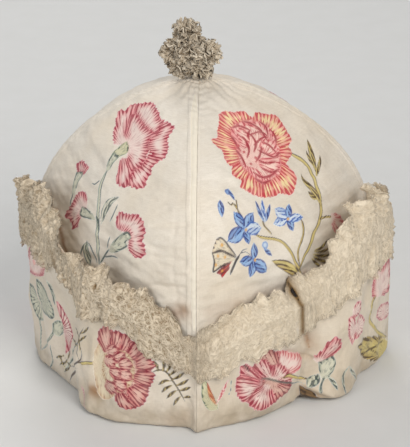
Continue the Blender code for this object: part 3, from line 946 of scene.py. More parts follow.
def painted(spray, chart, turn_over=False, shift=(0.0, 0.0), scale=1.0):
    """The fields of a piece with a spray painted on it, in the order of the spray's rows. The
    spray may be turned over, without its stains and painted shade, made smaller and moved as a
    whole."""
    painting = Painting(chart)
    flip = np.array([-1.0 if turn_over else 1.0, 1.0])

    def put(points):
        return np.asarray(points, float) * flip * scale + shift

    for kind, colour, size, lines, *rest in spray:
        if kind == "soil" and turn_over:
            continue
        size = put(size) if isinstance(size, tuple) else size * scale
        for line in lines:
            KINDS[kind](painting, colour, size, put(line), *rest)
    return painting.fields()


# Sprays

# Each row: its kind, its paint or strength, its size or hub, and its lines of points, in mm on the
# cloth, across from the middle of the piece and up from its foot
GORE_FRONT_LEFT = (
    ("stroke", "seam_cream", 5.0, [((14.8, 202.7), (45.8, 161.5), (63.5, 131.7), (76, 99.8),
        (77.6, 59.3))]),
    ("stroke", "grey_green", 2.6, [((-3.8, 135.7), (-3.4, 128.6), (-3.1, 123.1), (-0.8, 116.5),
        (0.6, 109.8), (2.6, 102.8), (4.7, 91.8), (6, 81.1))]),
    ("stroke", "grey_green", 1.3, [((-0.2, 107.3), (2.2, 104.5), (3.5, 100.2)),
        ((13.2, 92), (10.4, 87.7), (6.7, 81.8))]),
    ("stroke", "grey_green", 1.2, [((-25.4, 114.7), (-26.3, 110.2), (-26.9, 104.6))]),
    ("leaf", "pale_leaf", 5.0, [((4.8, 104.1), (5.4, 112.5), (8.4, 118.7), (12.6, 122.5))]),
    ("stroke", "grey_green", 1.0, [((11.5, 107.3), (12.9, 112.9), (13.6, 118.5))]),
    ("leaf", "grey_green", 6.4, [((-0.5, 77.9), (-3.7, 84), (-3.9, 91.7))]),
    ("stroke", "grey_green", 1.2, [((-5.7, 89.4), (-8.9, 83.6), (-10.9, 76.6)),
        ((-2.9, 91.4), (1.1, 88), (4.4, 81.2))]),
    ("stroke", "grey_green", 1.0, [((12.8, 99.4), (12.5, 95.4), (11.5, 92.1))]),
    ("stroke", "grey_green", 1.1, [((9.6, 86.2), (16, 88.7), (20.6, 88.9))]),
    ("stroke", "grey_green", 1.0, [((-5.5, 127.3), (-8.2, 123.9), (-11.1, 123.6))]),
    ("bloom", "crimson", (0.7, 151.4), [((-21.9, 165.4), (-19.1, 172.8), (-11.6, 182.1), (-3, 185.4),
        (11.7, 176.7), (20.5, 173.6), (22.5, 164.5), (28.2, 154), (24.1, 143.5), (24.7, 133.9),
        (15.6, 130.2), (6.5, 132.6), (5.5, 145.8), (1.9, 153.3),
        (-9.7, 152.4))], 3.0, 0.1, 0.3, 0.0, 0.3),
    ("bloom", "crimson", (-0.7, 150.9), [((-9.2, 150.1), (-13.6, 153.2), (-17.4, 157.1), (-19.3, 161.5),
        (-21.9, 165.4), (-24.4, 169.2), (-24, 171.8), (-19.6, 173.3), (-19.9, 177.4), (-15.7, 180.7),
        (-13.2, 174.9), (-9.7, 164.9), (-1.7, 154.4)),
        ((-13.2, 174.9), (-15.7, 180.7), (-12.6, 183.1), (-8.1, 186.7), (-3.8, 187.1), (6.2, 180.9),
        (8.7, 177.5), (12.8, 177.1), (13.7, 167.5), (7.8, 165.9), (-2, 169.8)),
        ((13.7, 167.5), (12.8, 177.1), (18.5, 176.3), (21.8, 174.7), (22.4, 171.8), (22.5, 168.6),
        (24.1, 164.3), (27.3, 160.6), (29.8, 153.7), (26.3, 150), (17.5, 154.2), (13.6, 157.7),
        (12.1, 162.3)),
        ((17.5, 154.2), (26.3, 150), (24.9, 144.9), (26.2, 142.1), (25, 137.3), (26.2, 133.7),
        (24.2, 131.1), (19.2, 130.1), (15, 131.4), (13.3, 140.3), (17.1, 144.2), (17.9, 149.2)),
        ((5.5, 145.8), (13.3, 140.3), (15.6, 130.2), (14.8, 128.8), (9.4, 128.4), (5.9, 130.5),
        (4.2, 133.8), (4.4, 136.4), (1.8, 144.4)),
        ((-0.7, 153.2), (-10.2, 163.1), (-13.2, 174.9), (-6, 173.9), (3.6, 169.3), (9.4, 168),
        (13.7, 167.5), (14.3, 164.6), (12.1, 162.3), (13.6, 157.7), (16.7, 155.5), (16.5, 152.5),
        (17.9, 149.2), (17.1, 144.2), (13.3, 140.3), (8.9, 141.5), (5.5, 145.8))]),
    ("bloom", "yellow_green", (-3.2, 141), [((-2.1, 155.9), (2.4, 152.7), (3.5, 148.7), (0.1, 144.5),
        (-1.5, 141), (-5.6, 141.6), (-6.1, 146.6), (-4.5, 151.1))], 1.6, 0.2, 0.0),
    ("bloom", "grey_green", (-3.2, 134.7), [((-5.6, 146.1), (0.1, 144.5), (-1.2, 139.1), (-1.6, 135.1),
        (-4.7, 134.2), (-5.8, 139.5))], 1.6, 0.2, 0.0),
    ("bloom", "crimson", (-23.7, 121.4), [((-33.3, 126.1), (-34.8, 129), (-32.2, 131.1), (-29.4, 132.6),
        (-24.8, 132.1), (-20.3, 131.6), (-19.4, 129.2), (-21.6, 125.4), (-28.4, 123.9))]),
    ("bloom", "grey_green", (-24.7, 113.7), [((-31.5, 124.2), (-23.8, 126.6), (-23.2, 120.9),
        (-23.3, 117.2), (-23.3, 112.9), (-26.7, 111.9), (-28.3, 117.4))], 1.6, 0.2, 0.0),
    ("bloom", "crimson", (-9.1, 106.8), [((-12.1, 116.6), (-15.8, 117.2), (-19.3, 116), (-22, 112.7),
        (-25.1, 107.6), (-27.9, 103.1), (-30.8, 99.8), (-30.7, 97.4), (-27.9, 96.5), (-24, 96.6),
        (-21.4, 95.1), (-20.3, 93.1), (-15.3, 95.4), (-13, 100.8), (-9.8, 106), (-8.9, 111.6))]),
    ("bloom", "grey_green", (-0.5, 105.4), [((-14, 108.8), (-7.9, 109), (-1.9, 107.3), (-0.3, 104.9),
        (-6, 103.7), (-13.8, 103.5))], 1.6, 0.2, 0.0),
    ("bloom", "crimson", (21.7, 99.1), [((17.6, 105.5), (15.5, 108.4), (15.8, 113.7), (16.7, 115.2),
        (21.5, 115.3), (26.8, 116), (29.3, 117.2), (34.9, 114.5), (37.9, 110.6), (39.4, 108.6),
        (37.8, 103.7), (40, 101.4), (41.3, 97.7), (40.1, 94.6), (37.3, 93.3), (33, 92.3), (30.5, 93.9),
        (28.2, 96.3), (27.6, 101.3), (25.7, 104.8), (21.2, 104.8))]),
    ("bloom", "grey_green", (14.1, 91.7), [((14.2, 94.1), (17.3, 99), (26.1, 106), (29.6, 102.9),
        (26.2, 99.8), (27.4, 97.2), (18.3, 91.2), (13.4, 90.3))], 1.6, 0.2, 0.0),
    ("soil", 0.55, 5.0, [((57.5, 59.7), (63.6, 65.8), (69.9, 69.6))]),
    # Painted shadow on the crown beside the lace's edge
    ("soil", 0.8, 2.6, [((-39.7, 96.8), (-34.8, 90), (-29.5, 82.2), (-25.8, 76.1))]),
)
GORE_FRONT_RIGHT = (
    ("stroke", "olive", 2.2, [((-36.4, 109.1), (-32.1, 105.3), (-26.7, 102.8), (-20.9, 100.8),
        (-15.9, 97.8), (-12.8, 93.6), (-10.2, 88.4), (-7.2, 82.3), (-2.8, 75.7), (-0.2, 71.3))]),
    ("stroke", "olive", 1.5, [((-44.1, 127), (-42.5, 124), (-41.3, 119.8), (-40.1, 116.7))]),
    ("stroke", "olive", 1.6, [((-27.1, 112.9), (-24.7, 108.2), (-21.9, 103.4))]),
    ("stroke", "olive", 1.8, [((-1.5, 107.8), (0.4, 103.2), (-1.5, 97.5), (-4.1, 93), (-6.2, 87.8),
        (-4.8, 81))]),
    ("stroke", "olive", 1.2, [((-47, 128.1), (-45.5, 125.6), (-43.7, 126.4)),
        ((-40.9, 128.2), (-41.6, 124.4), (-42.2, 122.8))]),
    ("stroke", "olive", 3.1, [((4.4, 147.5), (7.8, 146.3), (12.9, 142.2), (17.3, 137.4), (19.2, 132.1),
        (20.4, 125.5), (19.5, 119.4), (18.9, 113.5), (17.8, 107.9), (15.6, 102.7), (10, 98), (5.2, 93.2),
        (2.1, 88.2), (-2.4, 83.8), (-5, 78.4))]),
    ("leaf", "olive", 4.6, [((24.5, 128), (26.6, 137.6), (29.9, 147.8))]),
    ("leaf", "olive", 2.6, [((24.1, 130.7), (23.3, 137.4), (23.9, 142.4))]),
    ("leaf", "olive", 3.4, [((22.3, 125.4), (28.8, 130.3), (33.4, 135.6))]),
    ("leaf", "olive", 4.2, [((18.3, 108.9), (15.7, 119.4), (11.7, 125.7), (10.7, 130.9))]),
    ("leaf", "olive", 3.6, [((16, 113.2), (13.1, 116.5), (11.4, 120.1))]),
    ("stroke", "olive", 1.8, [((15.4, 102.2), (21.1, 101.6), (26.8, 99.8))]),
    ("bloom", "pale_pink", (24.6, 99.9), [((26.5, 102.2), (31.7, 100.6), (36.8, 97.2), (39.7, 92.7),
        (38.6, 88.1), (33.9, 87.2), (29.4, 89.3), (26, 93.5))]),
    ("leaf", "olive", 2.3, [((6.9, 85.9), (15, 85.7), (23.2, 88.4)),
        ((7, 85.3), (17.5, 82.4), (28, 82.5)),
        ((6.4, 84.2), (17.8, 79), (28.2, 76.9)),
        ((6.5, 83), (17, 76.1), (26.4, 72.5)),
        ((5.2, 82.3), (12.2, 75.9), (17.2, 70.6))]),
    ("leaf", "olive", 6.6, [((-25.3, 89.5), (-16.5, 84.7), (-11.3, 80.6), (-4, 73.2))]),
    ("bloom", "ball", (-13.4, 149.6), [((-17.9, 172.4), (-4.8, 177.5), (6.4, 172.2), (11.6, 164.6),
        (8.2, 153.5), (4.7, 145.3), (-0.8, 135.9), (-8.5, 133), (-17, 130.9), (-22.7, 134.1),
        (-26.4, 140.3), (-29.5, 147.5), (-24.5, 158.3))], 3.0, 0.1, 0.2, 0.0, 0.2),
    ("bloom", "rose", (-11.1, 153.3), [((-22.3, 167), (-21.9, 176.5), (-18.7, 181.4), (-15.8, 185.7),
        (-11.6, 186.8), (-7.1, 184.2), (-1.3, 182.2), (-0.1, 178.9), (0.1, 174.8), (-6.9, 174.3),
        (-14.7, 172.1)),
        ((-0.8, 173.5), (3.6, 177.4), (7.7, 177.8), (14.4, 174), (19.9, 170), (21, 163.9), (18.4, 156.1),
        (17.1, 151.8), (10.7, 148.9), (4.9, 150.3), (4.3, 156.4), (5.4, 164.1), (2.5, 169.5)),
        ((5.7, 151.4), (10.7, 148.9), (11.7, 145.1), (8.4, 142.3), (2, 139.5), (-0.9, 142.5),
        (2.1, 148.5)),
        ((-18.1, 170.1), (-21.9, 176.5), (-25.1, 173.9), (-28.5, 169.2), (-33.7, 168.1), (-34.4, 165),
        (-33.7, 161.8), (-32.2, 158.7), (-34.6, 152.2), (-32.6, 147.2), (-26.4, 147.7), (-22.8, 154.2),
        (-21.2, 160.3)),
        ((-25.1, 149.6), (-32.6, 147.2), (-35.7, 141.4), (-31.7, 137.8), (-34.3, 134.5), (-32.9, 132.2),
        (-28.2, 128.3), (-23, 125.9), (-19.3, 132.1), (-21, 136.5), (-22.7, 141.5)),
        ((-18.3, 133.8), (-24.3, 126.2), (-14.5, 124), (-9.8, 124.5), (-2, 121.6), (3.7, 126.2),
        (6.4, 129.7), (4.7, 136.8), (2, 140.9), (-0.9, 142.5), (-3.4, 136.7), (-8.6, 135.1),
        (-14, 133.4))], 6.5, 0.12, 0.5, 0.6),
    ("bloom", "ball", (-15.2, 148.8), [((-18.1, 170.1), (-15, 173.8), (-6, 175.6), (4.1, 170.5),
        (7.6, 163.4), (4.7, 154.7), (3.4, 149.4), (1.1, 143.2), (-4, 135.6), (-8.3, 135.7), (-14, 133.4),
        (-18.6, 133.2), (-21, 136.5), (-22.7, 141.5), (-25.4, 145.5), (-25.1, 149.6),
        (-22.1, 157.7))], 4.0, 0.3, 0.3, 0.4, 0.5),
    ("bloom", "ball", (-2.9, 152.1), [((-6.8, 173.4), (-0.8, 173.5), (3.8, 169), (5.6, 163.3),
        (3.6, 156.6), (-1.4, 161.7), (-2.7, 168.6))], 2.6, 0.3, 0.2, 0.3, 0.6),
    ("bloom", "ball", (-10.7, 147.2), [((-2.7, 159.8), (3, 156.9), (3, 151), (-1.7, 147.1), (-5.3, 150.7),
        (-7.5, 155.7))], 2.6, 0.3, 0.2, 0.3, 0.6),
    ("bloom", "ball", (-17.6, 149.6), [((-13.4, 149.6), (-6.4, 147.2), (0.6, 144.8), (-3.5, 138),
        (-9.6, 138.7), (-13.5, 142))], 2.6, 0.3, 0.2, 0.3, 0.6),
    ("bloom", "ball", (-17.1, 156.5), [((-22.7, 146.4), (-18.2, 143.9), (-15.4, 139), (-18, 134.4),
        (-21.1, 137.8), (-23, 142.2))], 2.6, 0.3, 0.2, 0.3, 0.6),
    ("bloom", "ball", (-6.7, 153.3), [((-14.3, 170.5), (-9.3, 171.8), (-8.4, 167.1), (-10.2, 161.8),
        (-15.4, 157.7), (-17.8, 161.1))], 2.6, 0.3, 0.2, 0.3, 0.6),
    ("stroke", "red_line", 1.1, [((-15.4, 173.2), (-10.1, 172.9), (-6.2, 168.1)),
        ((-6, 175.6), (-2, 171.7), (0.8, 164.8))]),
    ("stroke", "red_line", 1.0, [((3.4, 170.7), (5.2, 166.3), (3, 161))]),
    ("stroke", "red_line", 1.1, [((7.6, 163.4), (7.2, 158.7), (4.3, 154.1)),
        ((-8.6, 164.7), (-0.9, 164.7), (2.5, 160.4)),
        ((-9.5, 158), (-2.3, 160.4), (2, 159.8)),
        ((-6.2, 168.1), (-9.7, 165.2), (-10.5, 162.6)),
        ((-19.5, 168), (-20.5, 160.2), (-20, 156.5))]),
    ("stroke", "red_line", 1.2, [((-9.3, 154.1), (-5.7, 150.1), (-2.1, 146.5), (2.9, 147.4))]),
    ("stroke", "red_line", 1.1, [((-13.1, 142.6), (-9.6, 138.7), (-3.5, 138)),
        ((-20.6, 141.6), (-17, 137.4), (-10.9, 136.4), (-5.1, 137.9)),
        ((-21.1, 137.8), (-17.6, 133.7), (-11.5, 134))]),
    ("stroke", "red_line", 1.3, [((-22.7, 157.8), (-22, 151.9), (-23.1, 145.7))]),
    ("stroke", "red_line", 1.1, [((-10.5, 168.1), (-7.8, 163.7), (-8.1, 158.2), (-12.3, 153.7))]),
    ("stroke", "red_line", 1.0, [((-3.9, 158), (-0.5, 153.9), (1, 149))]),
    ("stroke", "red_line", 1.2, [((-13, 148), (-9.3, 144.6), (-2.8, 143.2))]),
    ("stroke", "red_line", 1.0, [((-13.1, 161.5), (-14.5, 155.9), (-18.7, 151.3))]),
    ("stroke", "red_line", 1.2, [((-14.5, 166.2), (-12.8, 162.1), (-13.4, 156.4))]),
    ("stroke", "red_line", 1.0, [((-1.6, 168.1), (0.4, 164.2), (-0.1, 158.1)),
        ((-5.7, 155.1), (-9.9, 150.7), (-14.7, 147.3))]),
    ("dot", "red_line", 1.2, [(-19.9, 160.1)]),
    ("dot", "red_line", 0.9, [(-18.5, 155.4)]),
    ("dot", "red_line", 1.0, [(-13.4, 149.6)]),
    ("dot", "red_line", 0.9, [(-18.5, 146.9), (-3.1, 157)]),
    ("star", "pale_blue", (-8.9, 109.9), [((-18.9, 109.1), (-16.6, 117.3))]),
    ("star", "blue", (-8.9, 109.9), [((-6.2, 117.4), (-1.3, 108.3), (-7.6, 102))]),
    ("leaf", "pale_blue", 5.0, [((-9.2, 108.8), (-4.8, 108.7), (0.8, 107.7))]),
    ("star", "blue", (-40.7, 111.1), [((-44.9, 121.5), (-32.2, 118.6), (-39.6, 102.4), (-54.1, 106.9))]),
    ("star", "pale_blue", (-40.7, 111.1), [((-28.3, 109.1),)]),
    ("star", "blue", (-37.6, 92.9), [((-35.5, 102), (-48, 94.1), (-41.3, 84), (-29.6, 84.1))]),
    ("dot", "pale_blue", 2.3, [(-27.9, 99)]),
    ("leaf", "blue", 3.0, [((-29.2, 97.1), (-26.7, 94.7), (-24.5, 92))]),
    ("leaf", "blue", 2.6, [((-25.6, 111.9), (-27.7, 118.8), (-28.3, 125.3))]),
    ("leaf", "pale_blue", 3.0, [((-24.9, 111.8), (-24.6, 118.7), (-23.4, 124.8))]),
    ("leaf", "blue", 2.6, [((-24.1, 111.6), (-21.7, 116.3), (-18.8, 120.8))]),
    ("dot", "blue", 2.0, [(-43.7, 133)]),
    ("leaf", "blue", 2.4, [((-42.1, 135.4), (-42.6, 131.5), (-42, 127.2))]),
    ("leaf", "blue", 4.4, [((-53.7, 120.2), (-52.5, 125), (-50.9, 129.5))]),
    ("dot", "yellow", 0.9, [(-40, 110.5), (-36.9, 92.7)]),
    ("dot", "yellow", 0.8, [(-9, 109.4)]),
    ("bloom", "wing", (-49.8, 96.7), [((-61.6, 109.3), (-57.6, 109.2), (-54.1, 104.2), (-50.4, 98),
        (-55.7, 100), (-59.8, 102.4), (-66, 102.2))], 1.3, 0.12, 0.0),
    ("bloom", "wing", (-49.9, 96.2), [((-66.5, 102.8), (-60.4, 102.5), (-55, 99.9), (-50.5, 96.3),
        (-54.8, 94.8), (-61.2, 93.6), (-66.9, 91.7), (-65.7, 97.2))], 1.3, 0.12, 0.0),
    ("bloom", "red", (-51.3, 95.9), [((-54, 95.2), (-56.4, 90.5), (-59.9, 87.5), (-63.9, 90.6),
        (-61.2, 93.6))]),
    ("dot", "yellow", 0.9, [(-58.6, 105.5)]),
    ("dot", "yellow", 0.8, [(-62.5, 100.1), (-57.9, 98.7), (-64.6, 95.4), (-60.4, 91.1)]),
    ("stroke", "dark", 0.9, [((-61.6, 109.3), (-57.6, 109.2), (-54.1, 104.2), (-49.8, 97.3)),
        ((-65.3, 102.1), (-59.8, 102.4), (-55, 99.9), (-49.8, 96.7)),
        ((-66, 102.2), (-65.7, 97.2), (-66.9, 91.7), (-61.2, 93.6), (-54.8, 94.8))]),
    ("stroke", "dark", 1.7, [((-47.3, 98.5), (-50.6, 95.2), (-54, 90.8), (-55.1, 87.9))]),
    ("stroke", "dark", 0.7, [((-47.3, 98.5), (-43.5, 98.8), (-39.3, 96.1)),
        ((-47.3, 98.5), (-44.7, 100.1), (-40.9, 100.4))]),
    ("soil", 0.22, 5.0, [((-68.7, 68.2), (-54.5, 69.2), (-33.3, 70.4), (-12.5, 70.7))]),
    ("soil", 0.5, 2.4, [((-10.2, 76.3), (-4, 74.4), (1.5, 73.7))]),
)
BRIM_FRONT_LEFT = (
    ("bloom", "crimson", (-50.5, 67.4), [((-55.9, 77.5), (-42.4, 84.2), (-34.8, 84), (-31.7, 78.7),
        (-32.1, 71), (-39.6, 62.7), (-49.7, 58.9), (-68.9, 56), (-65.1, 66.1))]),
    ("dot", "ball", 1.5, [(-51.6, 67)]),
    ("bloom", "grey_green", (-38.2, 48.1), [((-49.6, 57.6), (-44.3, 56.9), (-36.4, 54.4), (-26.1, 51.5),
        (-24.7, 42.3), (-31.3, 40.4), (-42.2, 41.4), (-49.1, 46.8))], 2.2, 0.35, 0.0),
    ("bloom", "grey_green", (-46.8, 44.4), [((-63.6, 49.4), (-54.7, 49.8), (-50.5, 44.3), (-47.2, 37.6),
        (-47.1, 29.7), (-59.4, 27.3), (-63.4, 35), (-63.3, 43.1))], 2.2, 0.35, 0.0),
    ("leaf", "grey_green", 3.2, [((-30.1, 65.1), (-20.7, 61.1), (-21.2, 51.5))]),
    ("stroke", "grey_green", 2.0, [((-59.1, 28.7), (-54.9, 19.8), (-51.3, 9.9))]),
    ("stroke", "grey_green", 1.8, [((-25.5, 35.5), (-31.3, 26.4), (-50.2, 10.9))]),
    ("stroke", "grey_green", 1.6, [((-30.8, 22.6), (-32.2, 13.7), (-41.4, 2))]),
    ("bloom", "grey_green", (-25.2, 29), [((-26.7, 38.4), (-21.9, 42), (-17, 42.3), (-17, 37.1),
        (-21.8, 31.3), (-26.5, 31.2))], 1.6, 0.2, 0.0),
    ("bloom", "crimson", (-20.5, 35.9), [((-18.4, 56.7), (-15.3, 54.3), (-13.1, 48.9), (-9.8, 42.3),
        (-6.6, 35.4), (-19.3, 20.9), (-21, 20.6), (-19.2, 29.2), (-17.4, 40.2),
        (-19.4, 48.2))], 2.4, 0.4, 0.3),
    ("leaf", "grey_green", 2.6, [((-22.9, 6.9), (-16.4, 15.9), (8.9, 43.3))]),
    ("leaf", "olive", 1.6, [((9.3, 34.9), (8.1, 41.7), (4.6, 48.5)),
        ((-20.8, 8.4), (-23.2, 13.6), (-23.5, 18.9))]),
    ("stroke", "brown", 1.1, [((9.2, 40.4), (9.1, 31.1), (-11.7, 11.7), (-17.8, 1.9))]),
    ("stroke", "brown", 0.9, [((8.6, 29.7), (-6.7, 15.8), (-16.4, 5.1))]),
    ("stroke", "olive", 2.4, [((8.6, 29.1), (16.6, 32.3), (22.8, 33.8))]),
    ("stroke", "olive", 0.9, [((8.6, 29.7), (6.7, 36.2), (7.6, 44.5), (12.5, 53.2))]),
    ("leaf", "moss", 1.8, [((7.5, 39), (-1.4, 36.7), (-7.5, 36.7)),
        ((7.1, 41.3), (11.3, 45.4), (14.5, 48.3)),
        ((7.6, 45.1), (1.3, 44.9), (-4, 44.5)),
        ((9, 47), (13, 50.2), (17.2, 54.9))]),
    ("stroke", "olive", 0.9, [((8.2, 25.8), (-13.7, 14.6), (-20.5, 15.6), (-22.5, 20.4))]),
    ("leaf", "moss", 1.8, [((-14.9, 14.8), (-18.4, 10.7), (-22.9, 6.9)),
        ((-18.9, 14.8), (-22.6, 13.1), (-26, 10.7)),
        ((-19.9, 15.7), (-18.6, 19.2), (-16.6, 23.4)),
        ((-21.7, 17.8), (-23.7, 17.6), (-27, 15.3))]),
    ("stroke", "moss", 1.2, [((56, 35.4), (60.4, 37.7), (64.5, 36.5), (67.6, 31.5), (71.1, 25),
        (73.9, 18.2))]),
    ("leaf", "moss", 2.0, [((60.4, 36.6), (59.9, 40.1), (57.7, 43.5)),
        ((62.5, 36.5), (63.5, 40.6), (62.4, 44.7))]),
    ("leaf", "moss", 2.2, [((64.5, 36), (66.6, 40), (67.2, 44.5)),
        ((65.6, 34), (69.2, 37), (72, 40.4)),
        ((67.1, 31.6), (70.8, 33.3), (74.6, 36.7)),
        ((67.1, 31), (63.5, 31), (59.9, 27.9)),
        ((68.1, 28.5), (64.2, 26.4), (61, 22.6)),
        ((69.1, 27.8), (73.5, 29.9), (76.9, 32.6)),
        ((70.1, 25.5), (66.5, 22.6), (63.4, 18.9)),
        ((71.1, 25), (75.2, 26.6), (78.4, 28.2))]),
    ("leaf", "moss", 2.0, [((71.9, 21.9), (68.8, 18.5), (66.8, 15)),
        ((73, 20.7), (75.6, 21.8), (79, 22.6))]),
    ("bloom", "yellow_base", (22.8, 31.9), [((22.8, 45.6), (28, 50.8), (33.5, 48.1), (37.3, 39.9),
        (37.5, 28.1), (34.7, 17.4), (26.5, 11.7), (21, 14.9), (19.5, 23.4),
        (20.1, 37.6))], 3.0, 0.16, 0.3, 0.0, 0.35),
    # The big flower's petals in the darker crimson carry painted shade
    ("bloom", "wine", (33.5, 35.4), [((32, 53), (42.2, 54.1), (50.3, 48.3), (56.2, 41.1), (55.4, 29.1),
        (50.4, 17.5), (41.1, 15.8), (34.9, 20), (30.8, 34.7))], 5.0, 0.3, 0.2, 0.0, 0.3),
    ("bloom", "wine", (33.5, 35.4), [((23, 48.2), (23.8, 53.9), (27.3, 57.8), (30.5, 59.7), (33.3, 56.9),
        (34.8, 52.6), (33.6, 43.9), (28, 42.3))], 4.6, 0.2, 0.8),
    ("bloom", "wine", (33.4, 37.7), [((31.9, 55.3), (35.9, 57.5), (39.2, 57.1), (41, 52.7), (39.2, 46.4),
        (34.9, 45.5))], 4.0, 0.2, 0.8),
    ("bloom", "wine", (36, 38.4), [((39.1, 55.9), (43.5, 56.9), (45.9, 53.7), (45.8, 48.9), (42.1, 44.4),
        (38.7, 46.3))], 4.0, 0.2, 0.8),
    ("bloom", "wine", (37.2, 36.2), [((44.6, 52.8), (48.7, 53), (50.9, 48.9), (49.8, 43.5), (44.5, 41.3),
        (42.7, 45.7))], 4.0, 0.2, 0.8),
    ("bloom", "wine", (38.4, 34), [((49.8, 47.6), (54.3, 46.5), (57.8, 42.9), (58.8, 38.9), (54.8, 35.7),
        (49, 35.8), (47.5, 41.4))], 4.0, 0.2, 0.8),
    ("bloom", "wine", (38.5, 31.7), [((49, 35.8), (54.9, 36.4), (58.8, 35.9), (57.3, 29.5), (53.8, 24.7),
        (48.3, 25.4), (45.2, 30))], 4.4, 0.2, 0.8),
    ("bloom", "wine", (37.4, 30.4), [((46.2, 26.5), (53.9, 25.4), (53.6, 19.9), (51.3, 15), (47.6, 12.9),
        (44.3, 17.3), (42.3, 23.1))], 4.4, 0.2, 0.8),
    ("bloom", "wine", (33.6, 31.9), [((40.2, 21.9), (44.3, 18.5), (47.6, 12.9), (43.8, 10.7),
        (39.5, 10.6), (36, 13.5), (34.8, 18.1))], 4.4, 0.2, 0.8),
    ("bloom", "yellow_base", (33.5, 35.4), [((27.8, 41), (37.5, 46.1), (44.6, 43.8), (46.8, 36.8),
        (45.1, 27.6), (40.2, 21.9), (29.5, 20.1), (25.5, 28.9))], 3.0, 0.2, 0.5, 0.0, 0.5),
    ("bloom", "wine", (28, 42.3), [((30, 46.5), (34.2, 48.9), (37.5, 47.3), (36.8, 42.9), (32.8, 40.7),
        (29.3, 42.1))], 2.2, 0.3, 0.5),
    ("bloom", "wine", (30.7, 38.2), [((34.9, 44.3), (39.2, 45.7), (42.1, 43.8), (41.3, 39.2), (37.2, 38),
        (34.2, 39.8))], 2.2, 0.3, 0.5),
    ("bloom", "wine", (33.5, 35.4), [((37.9, 41.2), (42.6, 42.1), (45.7, 39.7), (44.2, 34.9),
        (40.1, 34.2), (37.2, 36.8))], 2.2, 0.3, 0.5),
    ("bloom", "wine", (29.2, 37.7), [((28.5, 40.6), (33.5, 41.4), (36.1, 39), (34.8, 35.1), (30.8, 34.1),
        (27.7, 36))], 2.2, 0.3, 0.5),
    ("bloom", "wine", (33.6, 31.9), [((37.8, 35.1), (42.4, 35.1), (45.3, 32.5), (44.1, 28.2), (40.4, 28),
        (37.4, 31))], 2.2, 0.3, 0.5),
    ("bloom", "wine", (29.2, 32.9), [((32.2, 35), (36.6, 35.5), (39, 32.9), (38.1, 29.3), (34.3, 28.4),
        (31.4, 31.1))], 2.2, 0.3, 0.5),
    ("bloom", "wine", (30.5, 27.1), [((34.9, 29.2), (39.9, 29.1), (42.6, 26.5), (41.8, 22.6),
        (37.7, 21.7), (34.3, 24.2))], 2.2, 0.3, 0.5),
    ("bloom", "wine", (24.8, 23.5), [((28.3, 25.4), (34.3, 26), (37.1, 23.3), (34.8, 18.7), (29.3, 17.4),
        (25.9, 19.9))], 2.2, 0.3, 0.5),
    ("stroke", "red_line", 0.9, [((7.4, 14.5), (10.4, 7.7), (13.4, 2))]),
    ("soil", 0.9, 4.2, [((18.4, 15), (21, 14.4))]),
    ("soil", 0.25, 5.0, [((65.4, 6), (72.2, 7.3))]),
    # Painted shade that darkens the brim's top edge in the hollow under the lace
    ("soil", 1.0, 3.4, [((-20.5, 98), (-15.5, 95.5), (-8.5, 91.5))]),
)
